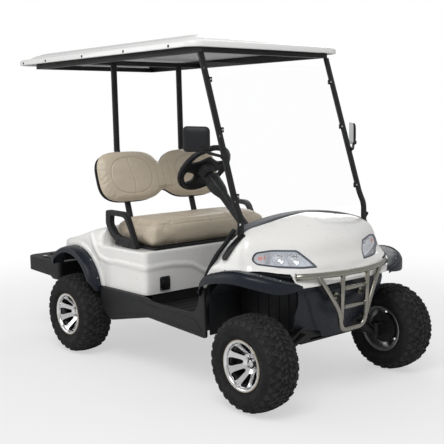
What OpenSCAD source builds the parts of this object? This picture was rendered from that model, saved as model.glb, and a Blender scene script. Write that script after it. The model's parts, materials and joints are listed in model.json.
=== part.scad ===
// Two-seat electric golf cart with long roof, brush guard and lifted wheels.
// +X is forward, +Y is the left side, +Z is up; the wheels stand on z = 0.
// Every module is drawn with x = 0 at the front axle and placed by vehicle().

/* [Wheels and axles] */
// Distance between the front and rear axles
wheelbase = 1660; // [1500:10:1900]
// Outer radius of a tyre
tyre_r = 256; // [225:1:280]
// Width of a tyre over its sidewalls
tyre_w = 228; // [180:1:240]
// Radius of the bead seat of a rim
rim_r = 127; // [105:1:140]
// Width between the two flanges of a rim
rim_w = 190; // [150:1:195]
// From the cart's middle to the middle of a front tyre
front_half_track = 562; // [550:1:620]
// From the cart's middle to the middle of a rear tyre
rear_half_track = 580; // [560:1:640]
// From the cart's middle to a kingpin
kingpin_y = 420; // [400:1:424]

/* [Body] */
// Width of the painted body
body_w = 1130; // [1080:5:1160]
// Thickness of a body panel
panel_t = 12; // [6:1:18]
// Height of the floor's top
floor_z = 400; // [380:5:440]
// From the front axle back to the front face of the seat box
seat_box_x = 930; // [880:5:980]
// Height of the seat box's rim
seat_box_z = 726; // [700:2:760]
// From the rear axle back to the painted tail
tail_overhang = 285; // [250:5:330]
// From the rear axle back to the end of the bag tray
tray_overhang = 750; // [640:5:800]
// Width of the bag tray
tray_w = 1110; // [900:10:1160]
// Depth of the bag tray's floor below its rim
tray_depth = 60; // [40:5:80]

/* [Seat] */
// Width of the seat cushion
cushion_w = 970; // [900:5:980]
// Front-to-back length of the seat cushion
cushion_l = 450; // [400:5:460]
// Thickness of the seat cushion
cushion_t = 150; // [110:5:170]
// Thickness of the pan under the seat cushion
pan_t = 14; // [10:1:20]
// Width of the backrest over both lobes
back_w = 1010; // [960:10:1060]
// Height of a backrest lobe
back_h = 345; // [300:5:380]
// Thickness of the backrest's padding
back_t = 55; // [45:5:70]
// Thickness of the shell behind the backrest
shell_t = 14; // [8:1:18]

/* [Roof] */
// Length of the roof
roof_l = 1966; // [1800:5:2100]
// Width of the roof
roof_w = 1190; // [1120:5:1280]
// Height of the roof's lower edge
roof_z = 1893; // [1850:5:1950]
// Height of the roof's crown above its lower edge
roof_h = 82; // [60:2:110]
// From the front axle back to the roof's front edge
roof_x = 396; // [350:5:450]
// From the cart's middle to a front post
front_post_y = 502; // [480:1:520]
// From the cart's middle to a rear post
rear_post_y = 272; // [240:1:300]
// Radius of a rear post
rear_post_r = 20; // [16:1:24]
// Thickness of the windshield pane
glass_t = 5; // [4:1:8]

/* [Steering] */
// From the cart's middle to the steering column
steer_y = -250; // [-300:5:-200]
// Outer radius of the steering wheel
steer_wheel_r = 180; // [160:5:190]
// Radius of the steering wheel's rim section
steer_rim_r = 14; // [11:1:18]
// Tilt of the column above the horizontal
column_tilt = 42; // [38:1:46]

/* [Guard] */
// Radius of the brush guard's top bar
guard_r = 17; // [14:1:20]
// Half width of the brush guard's top bar
guard_half_w = 373; // [360:1:390]

/* [Hidden] */
$fn = 48;
gap = 0.3;                     // between pieces that rest on each other
run = 0.05;                    // radial clearance of a pin in its bore
clear = 6;                     // between moving pieces and their neighbours
rear_x = -wheelbase;
tray_end_x = rear_x - tray_overhang;
origin_x = -(tyre_r + tray_end_x) / 2;
half_w = body_w / 2;
axle_z = tyre_r;

frame_z = roof_z - 26;         // underside of the roof's frame

// Rear posts as [x, z] points, and where a post's middle stands at height z below its knee
post_foot = [rear_x + 215, 735];
post_knee = [rear_x + 40, 1312];
post_head = [rear_x + 32, frame_z - gap];
function post_x(z) = post_foot.x + (post_knee.x - post_foot.x) * (z - post_foot.y)
    / (post_knee.y - post_foot.y);

// ---------- helpers ----------

// Moves a piece from the front axle's frame to the cart's own origin
module vehicle() { translate([origin_x, 0, 0]) children(); }

// A piece and its mirror image on the other side of the cart
module both_sides() { children(); mirror([0, 1, 0]) children(); }

// An outline of [x, z] points, extruded from y0 to y1
module side_plate(points, y0, y1) {
    translate([0, y1, 0]) rotate([90, 0, 0]) linear_extrude(y1 - y0) polygon(points);
}

// An outline of [y, z] points, extruded from x0 to x1
module front_plate(points, x0, x1) {
    translate([x0, 0, 0]) rotate([90, 0, 90]) linear_extrude(x1 - x0) polygon(points);
}

// A box from its lowest corner to its highest corner
module box(low, high) { translate(low) cube(high - low); }

// A round bar from a to b
module rod(a, b, r) {
    d = b - a;
    translate(a) rotate([0, acos(d.z / norm(d)), atan2(d.y, d.x)]) cylinder(h = norm(d), r = r);
}

// A round bar along a list of points, with ball bends
module bent_rod(points, r) {
    for (i = [1:len(points) - 1]) rod(points[i - 1], points[i], r);
    for (i = [1:len(points) - 2]) translate(points[i]) sphere(r + 0.8);
}

// A square with round corners, centred
module rounded_square(w, h, r) {
    square([w - 2 * r, h], center = true);
    square([w, h - 2 * r], center = true);
    for (x = [-1, 1], y = [-1, 1]) translate([x * (w / 2 - r), y * (h / 2 - r)]) circle(r);
}

// ---------- wheels ----------

module tyre_at(x, y) {
    shoulder = 26;
    wall = 13;
    bead = rim_w / 2 - 14;
    h = tyre_w / 2;
    color("#1b1c1e") translate([x, y, axle_z]) rotate([90, 0, 0]) rotate_extrude($fn = 96)
        polygon([[rim_r + gap, -bead], [rim_r + 16, -bead - 4], [rim_r + 45, -h],
            [tyre_r - shoulder - 20, -h], [tyre_r - 8, -h + shoulder], [tyre_r, -h + 2 * shoulder],
            [tyre_r, h - 2 * shoulder], [tyre_r - 8, h - shoulder], [tyre_r - shoulder - 20, h],
            [rim_r + 45, h], [rim_r + 16, bead + 4], [rim_r + gap, bead],
            [rim_r + gap, bead - wall], [rim_r + 46, h - wall], [tyre_r - shoulder - 14, h - wall],
            [tyre_r - wall - 4, h - shoulder - wall], [tyre_r - wall - 4, -h + shoulder + wall],
            [tyre_r - shoulder - 14, -h + wall], [rim_r + 46, -h + wall],
            [rim_r + gap, -bead + wall]]);
}

hub_bore_r = 15;
hub_in = -34;                  // hub's inner end, out from the rim's middle
hub_out = 26;                  // hub's outer end
window_n = 8;

// side is 1 where the wheel's outer face points to +Y
module rim_at(x, y, side) {
    f = rim_w / 2;
    wall = 7;
    lip = 12;
    color("#b9bcc0") translate([x, y, axle_z]) rotate([side > 0 ? -90 : 90, 0, 0]) difference() {
        union() {
            rotate_extrude($fn = 72) polygon([[rim_r - wall, -f + 4], [rim_r + lip, -f],
                [rim_r + lip, -f + 5], [rim_r, -f + 9], [rim_r, f - 9], [rim_r + lip, f - 5],
                [rim_r + lip, f], [rim_r - wall, f - 4]]);
            rotate_extrude($fn = 72) polygon([[0, hub_in], [46, hub_in], [52, hub_out - 26],
                [rim_r - wall + 1, f - 22], [rim_r - wall + 1, f - 6], [62, hub_out - 4],
                [44, hub_out - 8], [0, hub_out - 8]]);
            translate([0, 0, hub_in]) cylinder(h = hub_out + 8 - hub_in, r = 33);
        }
        translate([0, 0, hub_in - 1])
            cylinder(h = hub_out - 12 - hub_in, r = hub_bore_r + run);
        for (k = [0:window_n - 1]) rotate([0, 0, k * 360 / window_n])
            translate([84, 0, hub_in - 6]) linear_extrude(rim_w) {
                translate([-18, 0]) circle(8);
                translate([14, 0]) circle(16);
                polygon([[-18, -8], [14, -16], [14, 16], [-18, 8]]);
            }
    }
}

module tyre_front_left() { tyre_at(0, front_half_track); }
module tyre_front_right() { tyre_at(0, -front_half_track); }
module tyre_rear_left() { tyre_at(rear_x, rear_half_track); }
module tyre_rear_right() { tyre_at(rear_x, -rear_half_track); }
module rim_front_left() { rim_at(0, front_half_track, 1); }
module rim_front_right() { rim_at(0, -front_half_track, -1); }
module rim_rear_left() { rim_at(rear_x, rear_half_track, 1); }
module rim_rear_right() { rim_at(rear_x, -rear_half_track, -1); }

// ---------- steering knuckles and axles ----------

kingpin_r = 12;
sleeve_r = 24;
sleeve_h = 60;
ear_t = 12;

// Drawn for the left side
module knuckle() {
    web_y = kingpin_y + sleeve_r + clear;
    z0 = sleeve_h / 2 + clear - 5;
    hub_y = front_half_track + hub_in;
    color("#3a3c3f") {
        for (s = [-1, 1]) translate([0, kingpin_y, axle_z + s * (z0 + ear_t / 2)])
            cylinder(h = ear_t, r = sleeve_r, center = true);
        for (s = [-1, 1]) box([-sleeve_r, kingpin_y, axle_z + s * (z0 + ear_t / 2) - ear_t / 2],
            [sleeve_r, web_y + 10, axle_z + s * (z0 + ear_t / 2) + ear_t / 2]);
        box([-sleeve_r, web_y, axle_z - z0 - ear_t], [sleeve_r, web_y + 14, axle_z + z0 + ear_t]);
        translate([0, kingpin_y, axle_z]) cylinder(h = 2 * z0 + 1, r = kingpin_r, center = true);
        rod([0, web_y + 10, axle_z], [0, hub_y - 5, axle_z], 30);
        rod([0, web_y + 20, axle_z], [0, front_half_track + hub_out - 16, axle_z], hub_bore_r);
        rod([0, hub_y - 34, axle_z], [0, hub_y - 8, axle_z], 88);
        rod([-sleeve_r + 6, web_y + 7, axle_z - 20], [-110, kingpin_y - 14, axle_z - 20], 10);
    }
}

module knuckle_left() { knuckle(); }
module knuckle_right() { mirror([0, 1, 0]) knuckle(); }

rail_y = 200;                  // middle of a frame rail
rail_w = 56;
rail_z0 = 308;
rail_top = floor_z - 14 - gap;
frame_front_x = 30;

arm_x = -35;                   // middle of the arms' feet
arm_z = 340;                   // underside of a lower arm at the frame

// Flat A-shaped arm falling outwards, from the frame to a kingpin sleeve
module wishbone(foot, z0, z1, t) {
    y0 = rail_y + rail_w / 2 + gap + 1;
    y1 = kingpin_y - sleeve_r + 8;
    k = (z1 - z0) / (y1 - y0);
    multmatrix([[1, 0, 0, 0], [0, 1, 0, 0], [0, k, 1, z0 - k * y0], [0, 0, 0, 1]])
        linear_extrude(t) difference() {
            polygon([[arm_x - foot, y0], [arm_x + foot, y0], [17, y1], [-17, y1]]);
            polygon([[arm_x - foot + 34, y0 + 20], [arm_x + foot - 34, y0 + 20], [0, y1 - 50]]);
        }
}

module front_suspension() {
    inner = rail_y + rail_w / 2 + gap;
    color("#26272a") difference() {
        union() {
            both_sides() {
                translate([0, kingpin_y, axle_z])
                    cylinder(h = sleeve_h, r = sleeve_r, center = true);
                wishbone(95, arm_z, axle_z - 26, 18);
                wishbone(75, arm_z + 40, axle_z + 7, 14);
                box([-140, inner, rail_z0 - 8], [frame_front_x, inner + 16, arm_z + 64]);
            }
            box([-140, -inner - 16, rail_z0 - 12], [frame_front_x, inner + 16, rail_z0 - gap]);
        }
        both_sides() translate([0, kingpin_y, axle_z])
            cylinder(h = sleeve_h + 2, r = kingpin_r + run, center = true);
    }
}

module rear_axle() {
    hub_y = rear_half_track + hub_in;
    color("#2b2c2f") {
        rod([rear_x, -hub_y + 40, axle_z], [rear_x, hub_y - 40, axle_z], 36);
        both_sides() rod([rear_x, hub_y - 44, axle_z], [rear_x, hub_y - 8, axle_z], 92);
        rod([rear_x, -rear_half_track - hub_out + 16, axle_z],
            [rear_x, rear_half_track + hub_out - 16, axle_z], hub_bore_r);
        translate([rear_x, -60, axle_z]) rotate([90, 0, 0])
            cylinder(h = 110, r = 90, center = true);
        rod([rear_x - 150, -70, axle_z], [rear_x - 150, rail_y - rail_w / 2 - clear, axle_z], 72);
        box([rear_x - 150, -112, axle_z - 60], [rear_x, -6, axle_z + 40]);
    }
}

spring_y = 300;

module rear_springs() {
    color("#2b2c2f") both_sides() {
        for (k = [0:3]) box([rear_x - 330 + k * 60, spring_y - 28, axle_z + 60 - 8 * k],
            [rear_x + 330 - k * 60, spring_y + 28, axle_z + 68 - 8 * k]);
        box([rear_x - 30, spring_y - 28, axle_z + 36 + gap],
            [rear_x + 30, spring_y + 28, axle_z + 40]);
        for (x = [-320, 320]) box([rear_x + x - 10, rail_y + rail_w / 2 + gap, axle_z + 67],
            [rear_x + x + 10, spring_y + 28, axle_z + 110]);
    }
}

// ---------- frame, floor, batteries ----------

module chassis_frame() {
    front_x = frame_front_x;
    back_x = rear_x - tray_overhang + 120;
    color("#202124") {
        both_sides() box([back_x, rail_y - rail_w / 2, rail_z0],
            [front_x, rail_y + rail_w / 2, rail_top]);
        for (x = [front_x - 50, -420, -900, rear_x + 380, back_x])
            box([x, -rail_y, rail_z0 + 10], [x + 50, rail_y, rail_top - 10]);
        for (x = [-460, -1180]) box([x - 30, -half_w + 44, rail_z0 + 20],
            [x, half_w - 44, rail_top]);
        both_sides() side_plate([[back_x, rail_top - 1], [back_x + 120, rail_top - 1],
            [back_x + 120, tray_bottom(back_x + 120) - gap],
            [back_x, tray_bottom(back_x) - gap]], rail_y - 20, rail_y + 20);
    }
}

toe_x = -440;

module floor_pan() {
    t = 14;
    side = half_w;
    top_x = liner_x - liner_t - gap - t;
    color("#2e3033") {
        box([-seat_box_x - 330, -side, floor_z - t], [toe_x, side, floor_z]);
        side_plate([[toe_x, floor_z - t], [top_x + t, floor_z + 150], [top_x + t, floor_z + 290],
            [top_x, floor_z + 290], [top_x, floor_z + 153], [toe_x - 12, floor_z]],
            -half_w + 30, half_w - 30);
        box([-seat_box_x - panel_t - gap - 16, -half_w + 60, floor_z - t],
            [-seat_box_x - panel_t - gap, half_w - 60, floor_z + 160]);
    }
}

module battery_pack() {
    color("#3d4146") box([-seat_box_x - 330, -350, floor_z + gap],
        [-seat_box_x - 60, 350, floor_z + 270]);
}

// ---------- front body ----------

cowl_low_z = 632;              // painted lower edge at the nose
hood_z = 975;                  // top of the hood at the windshield
hood_rear_x = -160;

// Side view of the hood, moved inwards by d
function cowl_side(d) = [[-430 + d, 570], [-400 + d, 610], [-340 + d, 710], [-280 + d, 788],
    [-214 + d, 860], [hood_rear_x + d, hood_z - 40], [hood_rear_x + d, hood_z - d],
    [-60, 938 - d], [40 - d / 2, 862 - d], [72 - d, 790], [100 - d, 726], [114 - d, 700],
    [114 - d, cowl_low_z], [-300, cowl_low_z], [-330, 570]];

// Half of the hood from above, moved inwards by d
function cowl_plan(d) = [[-440, half_w - d], [-250, half_w - d], [-110, half_w - 12 - d],
    [-30, 520 - d], [40, 430 - d], [86 - d / 2, 300 - d], [106 - d, 185], [113 - d, 90],
    [115 - d, 0]];

// Half of the hood from the front, moved inwards by d
function cowl_front(d) = [[0, hood_z + 6 - d], [230, hood_z - 8 - d], [370, hood_z - 28 - d],
    [450 - d / 2, 922 - d], [492 - d, 900 - d / 2], [520 - d, 860], [545 - d, 790],
    [half_w - d, 690], [half_w - d, 560], [0, 560]];

// Half of the ledge below the headlights from above, moved inwards by d
function ledge_plan(d) = [[-100, 548 - d], [0, 535 - d], [70 - d / 2, 498 - d], [118 - d, 405],
    [134 - d, 345], [150 - d, 210], [160 - d, 90], [163 - d, 0]];
ledge_top = 738;
ledge_lean = 0.85;            // how far the ledge leans back per unit of height

function mirrored(half) = concat(half, [for (i = [len(half) - 1:-1:0]) [half[i].x, -half[i].y]]);
function mirrored_x(half) = concat(half, [for (i = [len(half) - 1:-1:0]) [-half[i].x, half[i].y]]);

// Everything below a plane that falls from height z at the middle by slope.x forwards and by
// slope.y towards side s
module sloped_half(s, z, slope) {
    multmatrix([[1, 0, 0, 0], [0, 1, 0, 0], [-slope.x, -slope.y * s, 1, z], [0, 0, 0, 1]])
        box([-700, -900, -2600], [400, 900, 0]);
}

module cowl_solid(d) {
    intersection() {
        side_plate(cowl_side(d), -700, 700);
        translate([0, 0, 500]) linear_extrude(600) polygon(mirrored(cowl_plan(d)));
        front_plate(mirrored_x(cowl_front(d)), -500, 300);
        intersection_for(s = [-1, 1]) sloped_half(s, 906 - 1.15 * d, [0.534, 0.161]);
        intersection_for(s = [-1, 1]) sloped_half(s, 1188 - 2.96 * d, [2.55, 1.125]);
    }
    intersection() {
        translate([0, 0, cowl_low_z])
            linear_extrude(ledge_top - d - cowl_low_z) polygon(mirrored(ledge_plan(d)));
        multmatrix([[1, 0, -ledge_lean, ledge_lean * (cowl_low_z + 10)], [0, 1, 0, 0],
            [0, 0, 1, 0]]) linear_extrude(900) polygon(mirrored(ledge_plan(d)));
    }
}

arch_x = -40;
arch_r = 395;
arch_z = 330;

module arch_cut(r) {
    both_sides() translate([arch_x, 365, arch_z]) rotate([-90, 0, 0])
        cylinder(h = 400, r = r, $fn = 96);
}

module front_cowl() {
    color("#f1f0ec") difference() {
        cowl_solid(0);
        translate([0, 0, -0.1]) cowl_solid(panel_t);
        box([-500, -half_w + panel_t, 500], [hood_rear_x - 30, half_w - panel_t, 1100]);
        arch_cut(arch_r);
        headlight_block(0.3);
    }
}

module headlight_block(grow) {
    both_sides() intersection() {
        front_plate([[185 - grow, 718 - grow], [280, 722 - grow], [400, 734 - grow],
            [495 + grow, 752 - grow], [512 + grow, 775], [500 + grow, 800],
            [480 + grow, 817 + grow], [400, 824 + grow], [265 - grow, 814 + grow],
            [215 - grow, 762]], -125 - grow, 300);
        difference() {
            cowl_solid(-1);
            cowl_solid(34 + grow);
        }
    }
}

module headlights() {
    color("#dfe5ea") headlight_block(0);
}

liner_y = 318;                 // inner wall of the front wheel wells
liner_x = -358;                // rear wall of the front wheel wells
liner_t = 10;

module front_fascia() {
    top = cowl_low_z - gap;
    color("#232a36") difference() {
        intersection() {
            side_plate([[-40, top], [150, top], [150, 540], [128, 490], [108, 440], [68, 320],
                [30, 318], [-40, 345]], -360, 360);
            translate([0, 0, 300]) linear_extrude(400) polygon(mirrored([[-60, 342], [60, 352],
                [116, 352], [132, 300], [146, 200], [151, 100], [152, 0]]));
            front_plate(mirrored_x([[0, 318], [107, 318], [140, 345], [liner_y - 6, 385],
                [liner_y - 6, 525], [352, 570], [352, 640], [0, 640]]), -100, 200);
        }
        side_plate([[-60, 300], [40, 300], [88, 460], [126, 560], [126, top - 12], [-60, top - 12]],
            -liner_y + 20, liner_y - 20);
    }
    color("#20242c") both_sides() {
        side_plate([[liner_x, 400], [liner_x, 600], [-300, 680], [-40, 690], [40, 650],
            [40, 590], [-20, 560], [-20, 400]], liner_y - 8, liner_y + 2);
        box([liner_x - liner_t, liner_y - 8, 330], [liner_x, half_w - 14, 600]);
    }
}

module front_flares() {
    color("#262d39") both_sides() intersection() {
        translate([arch_x, 480, arch_z]) rotate([-90, 0, 0]) difference() {
            cylinder(h = 178, r = arch_r - gap, $fn = 96);
            translate([0, 0, -1]) cylinder(h = 200, r = arch_r - 14, $fn = 96);
        }
        translate([0, 0, 604]) linear_extrude(300) polygon([[-405, 560], [-405, 600],
            [-330, 630], [-180, 646], [-20, 634], [60, 590], [120, 535], [152, 460], [160, 396],
            [100, 400], [60, 440], [20, 510]]);
    }
}

// ---------- rear body ----------

rear_arch_x = rear_x - 32;
rear_arch_z = 405;
rear_arch_r = 292;
deck_x = -seat_box_x - 15 - cushion_l - clear;
deck_z = seat_box_z + 129;
tail_x = rear_x - tail_overhang;

function rear_side(d) = [[-seat_box_x - d, 440], [-seat_box_x - d, seat_box_z],
    [deck_x - d, seat_box_z], [deck_x - d, deck_z - d],
    [rear_x - 60, 785 - d], [tail_x + 70, 745 - d], [tail_x + 25 + d / 2, 700 - d / 2],
    [tail_x + d, 620], [tail_x + d, 470], [rear_x + 180, 470], [-seat_box_x - 20 - d, 470]];

function rear_plan(d) = [[-seat_box_x - d, 0], [-seat_box_x - d, half_w - 60],
    [-seat_box_x - 18 - d / 2, half_w - 18 - d / 2], [-seat_box_x - 60, half_w - d],
    [rear_x - 60, half_w - d], [tail_x + 110, half_w - 14 - d], [tail_x + 30 + d / 2, half_w - 70],
    [tail_x + d, half_w - 150], [tail_x + d, 0]];

module rear_solid(d) {
    intersection() {
        side_plate(rear_side(d), -700, 700);
        translate([0, 0, 400]) linear_extrude(600) polygon(mirrored(rear_plan(d)));
        front_plate(mirrored_x([[0, 900], [half_w - 70, 900], [half_w - 20 - d / 2, 800],
            [half_w - d, 720], [half_w - d, 400], [0, 400]]), -2300, 0);
    }
}

module rear_body() {
    color("#eeedea") difference() {
        rear_solid(0);
        translate([0, 0, -0.1]) rear_solid(panel_t);
        box([-2300, -half_w + panel_t, 400], [-seat_box_x - panel_t, half_w - panel_t, 600]);
        box([deck_x + 40, -cushion_w / 2 + 30, 500], [-seat_box_x - 60, cushion_w / 2 - 30, 900]);
        both_sides() translate([rear_arch_x, 330, rear_arch_z]) rotate([-90, 0, 0])
            cylinder(h = 400, r = rear_arch_r, $fn = 96);
        both_sides() rear_post(rear_post_r + gap);
        tail_light_block(gap);
        box([-seat_box_x - 20, -452, 490], [-seat_box_x + 20, -388, 562]);
    }
}

module rear_flares() {
    color("#20242b") both_sides() translate([rear_arch_x, half_w - 60, rear_arch_z])
        rotate([-90, 0, 0]) difference() {
            cylinder(h = 140, r = rear_arch_r - gap, $fn = 96);
            translate([0, 0, -1]) cylinder(h = 200, r = rear_arch_r - 50, $fn = 96);
            translate([-400, -25, -1]) cube([800, 400, 200]);
            translate([-800 + tail_x - rear_arch_x, -400, -1]) cube([800 + gap, 800, 200]);
        }
}

module rocker_panels() {
    color("#23262b") both_sides() side_plate([[-360, 316], [-372, 600], [-405, 600], [-420, 520],
        [-455, 448], [-510, 440], [-850, 446], [-915, 466], [rear_arch_x + rear_arch_r + 2, 466],
        [rear_arch_x + rear_arch_r + 2, 400], [rear_x + 265, 330], [rear_x + 370, 262], [-890, 345]],
        half_w + gap, half_w + gap + 22);
}

tray_z = 440;
tray_top = 548;
tray_rise = 14;                // of the tray's underside towards its end
tray_flat_x = tail_x - 120;    // where the underside starts to rise

function tray_bottom(x) = tray_z + tray_rise * max(0, tray_flat_x - x) / (tray_flat_x - tray_end_x);

module bag_tray() {
    top = tray_top;
    bottom = tray_z;
    color("#1d1e20") difference() {
        intersection() {
            translate([0, 0, 400]) linear_extrude(200) polygon(mirrored([
                [tail_x - gap, 0], [tail_x - gap, tray_w / 2], [tray_end_x + 60, tray_w / 2],
                [tray_end_x + 16, tray_w / 2 - 16], [tray_end_x, tray_w / 2 - 60],
                [tray_end_x, 0]]));
            side_plate([[tail_x, 422], [tail_x, top], [tray_end_x - 1, top],
                [tray_end_x - 1, tray_bottom(tray_end_x - 1)], [tray_flat_x, bottom],
                [tail_x - 100, 422]],
                -700, 700);
        }
        box([tray_end_x + 70, -tray_w / 2 + 130, top - tray_depth],
            [tail_x - 40, tray_w / 2 - 130, top + 1]);
        both_sides() box([tray_end_x + 170, tray_w / 2 - 60, bottom - 1],
            [tray_end_x + 300, tray_w / 2 - 32, top + 1]);
    }
}

module charger_socket() {
    color("#17181a") {
        box([-seat_box_x + gap, -458, 484], [-seat_box_x + 9, -382, 568]);
        box([-seat_box_x - panel_t + 1, -448, 494], [-seat_box_x + gap, -392, 558]);
    }
}

module tail_light_block(grow) {
    both_sides() intersection() {
        box([tail_x - 10, half_w - 160 - grow, 640 - grow], [tail_x + 70, half_w, 690 + grow]);
        difference() {
            rear_solid(0);
            rear_solid(panel_t - 2 + grow);
        }
    }
}

module tail_lights() {
    color("#b4151b") tail_light_block(0);
}

// ---------- seat ----------

pan_z = seat_box_z + gap;
lid_front_x = -seat_box_x - 15;

module seat_pan() {
    color("#1f2023") box([lid_front_x - cushion_l + 10, -cushion_w / 2 + 12, pan_z],
        [lid_front_x - 8, cushion_w / 2 - 12, pan_z + pan_t]);
}

module seat_cushion() {
    z0 = pan_z + pan_t + gap;
    color("#c9b99c") side_plate([[lid_front_x - 14, z0], [lid_front_x, z0 + 30],
        [lid_front_x - 4, z0 + cushion_t - 50], [lid_front_x - 30, z0 + cushion_t - 12],
        [lid_front_x - 80, z0 + cushion_t], [lid_front_x - cushion_l + 50, z0 + cushion_t],
        [lid_front_x - cushion_l + 12, z0 + cushion_t - 14],
        [lid_front_x - cushion_l, z0 + cushion_t - 50], [lid_front_x - cushion_l, z0 + 12],
        [lid_front_x - cushion_l + 12, z0]], -cushion_w / 2, cushion_w / 2);
}

lobe_w = 490;
back_lean = atan((post_foot.x - post_knee.x) / (post_knee.y - post_foot.y));
back_z = 1130;
back_x = post_x(back_z) + (rear_post_r + 2 + gap) / cos(back_lean);

module back_outline(inset) {
    r = 95;
    for (s = [-1, 1]) translate([s * (back_w - lobe_w) / 2, 0])
        rounded_square(lobe_w - 2 * inset, back_h - 2 * inset, r - inset);
    square([back_w - lobe_w, 200 - 2 * inset], center = true);
}

module place_back() {
    translate([back_x, 0, back_z]) rotate([0, -back_lean, 0]) rotate([90, 0, 90]) children();
}

module backrest_cushion() {
    color("#c9b99c") place_back() translate([0, 0, shell_t + gap])
        linear_extrude(back_t) back_outline(0);
}

module backrest_shell() {
    color("#1f2023") {
        place_back() linear_extrude(shell_t) back_outline(2);
        for (s = [-1, 1], z = [-70, 70]) place_back() translate([s * rear_post_y, z, -2])
            linear_extrude(3) square([50, 40], center = true);
    }
}

module armrests() {
    outer = [[-1070, 0], [-1105, 64], [-1170, 199], [-1205, 219], [deck_x + 6, 222],
        [deck_x + 2, 134], [-1350, 64], [-1270, 19], [-1180, 0]];
    inner = [[-1120, 64], [-1190, 179], [-1215, 189], [-1345, 192], [-1350, 134],
        [-1300, 79], [-1230, 59]];
    color("#1c1e21") both_sides() translate([0, 0, seat_box_z]) difference() {
        side_plate(outer, cushion_w / 2 + clear, cushion_w / 2 + clear + 34);
        side_plate(inner, cushion_w / 2, cushion_w / 2 + clear + 40);
    }
}

// ---------- posts, glass and roof ----------

post_top = [-464, 1886];
post_low = [-188, 1051];
post_foot_x = -155;
post_w = 36;
post_t = 16;

function unit(v) = v / norm(v);
function left_of(a, b) = [-(b - a).y, (b - a).x] / norm(b - a);

// One edge of a flat bar along a chain of points, d to its left
function bar_edge(points, d) = [for (i = [0:len(points) - 1])
    let (before = left_of(points[max(i - 1, 0)], points[max(i, 1)]),
        after = left_of(points[min(i, len(points) - 2)], points[min(i + 1, len(points) - 1)]),
        mid = unit(before + after))
    points[i] + mid * d / (mid * before)];

function flat_bar(points, w) = concat(bar_edge(points, w / 2),
    [for (i = [len(points) - 1:-1:0]) bar_edge(points, -w / 2)[i]]);

module windshield_posts() {
    color("#202226") both_sides() difference() {
        union() {
            side_plate(flat_bar([[post_foot_x, 880], [post_foot_x, 990], post_low, post_top],
                post_w), front_post_y - post_t / 2, front_post_y + post_t / 2);
            intersection() {
                side_plate(flat_bar([[post_foot_x + 8, 930], [post_foot_x + 6, 893],
                    [-229, 778]], 34), front_post_y - post_t / 2, half_w + 20);
                cowl_solid(-gap - 8);
            }
            box([post_foot_x - 14, front_post_y - post_t / 2, 884],
                [post_foot_x + 22, front_post_y + post_t / 2 + 6, 920]);
        }
        box([-700, 0, frame_z - gap], [0, 700, frame_z + 100]);
        cowl_solid(-gap);
    }
}

module windshield() {
    half = front_post_y - post_t / 2 - gap;
    slope = (post_top.x - post_low.x) / (post_top.y - post_low.y);
    low_z = hood_z + 12;
    high_z = 1815;
    color("#dfe9ee", 0.35) side_plate([for (p = [[low_z, 0], [high_z, 0], [high_z, glass_t],
        [low_z, glass_t]]) [post_low.x + slope * (p.x - post_low.y) + p.y, p.x]], -half, half);
}

module rear_post(r) {
    bent_rod([for (p = [post_foot, post_knee, post_head]) [p.x, rear_post_y, p.y]], r);
}

module roof_posts() {
    color("#1b1c1f") both_sides() rear_post(rear_post_r);
}

module roof_plan(inset, r) {
    translate([-roof_x - roof_l / 2, 0]) rounded_square(roof_l - 2 * inset, roof_w - 2 * inset, r);
}

module roof_top() {
    color("#f3f3f1") difference() {
        union() {
            translate([0, 0, roof_z]) linear_extrude(34) roof_plan(0, 90);
            translate([0, 0, roof_z + 33]) linear_extrude(20) roof_plan(60, 80);
            translate([0, 0, roof_z + 50]) linear_extrude(roof_h - 50) roof_plan(140, 70);
        }
        translate([0, 0, roof_z - 1]) linear_extrude(26) roof_plan(18, 75);
    }
}

module roof_frame() {
    x0 = -roof_x - roof_l + 120;
    x1 = -roof_x - 50;
    z0 = roof_z - 26;
    color("#1d1e21") {
        both_sides() box([x0, 470, z0], [x1, 500, roof_z + 25 - gap]);
        for (x = [x0, post_head.x - 16, x1 - 32])
            box([x, -485, z0], [x + 32, 485, z0 + 30]);
    }
}

// Drawn for the left side
module mirror_unit() {
    foot_x = post_low.x + (post_top.x - post_low.x) * (1310 - post_low.y)
        / (post_top.y - post_low.y);
    foot_y = front_post_y + post_t / 2;
    color("#1a1b1d") {
        translate([-302, foot_y + 66, 1405]) rotate([0, 0, 50]) rotate([90, 0, 90])
            translate([73, 0, 0]) linear_extrude(24) rounded_square(146, 140, 26);
        rod([foot_x, foot_y + 4, 1310], [-310, foot_y + 92, 1350], 9);
        box([foot_x - 14, foot_y + gap, 1292], [foot_x + 14, foot_y + 8, 1328]);
    }
}

module mirrors() { both_sides() mirror_unit(); }

// ---------- cab ----------

module dashboard() {
    half = front_post_y - post_t / 2 - 5;
    color("#3b3e44") difference() {
        intersection() {
            side_plate([[hood_rear_x - gap, 940], [-178, hood_z + 3], [-240, hood_z + 8],
                [-285, 965], [-300, 910], [-330, 800], [-384, 720], [-384, 691], [-372, 691],
                [-372, 715], [-318, 790], [-285, 900], [-240, 945]], -half, half);
            translate([0, 0, 600]) linear_extrude(500) polygon(mirrored([[-500, 320],
                [-384, 350], [-300, 400], [-245, 450], [-185, half], [-100, half]]));
        }
        along_column(-700) cylinder(h = 660, r = column_r + gap);
    }
}

module pedals() {
    wall_x = liner_x - liner_t - gap - 14;
    color("#17181a") for (p = [[-150, 70], [-300, 90]]) {
        translate([-470, p.x, floor_z + 85]) rotate([0, -50, 0])
            cube([110, p.y, 12], center = true);
        rod([-460, p.x, floor_z + 90], [wall_x - 11, p.x, floor_z + 240], 6);
        box([wall_x - 12, p.x - 22, floor_z + 225], [wall_x - gap, p.x + 22, floor_z + 275]);
    }
}

column_r = 24;
shaft_r = 11;
column_top = [-745, 1221];

module along_column(distance) {
    translate([column_top.x, steer_y, column_top.y]) rotate([0, -90 + column_tilt, 0])
        translate([0, 0, distance]) children();
}

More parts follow.
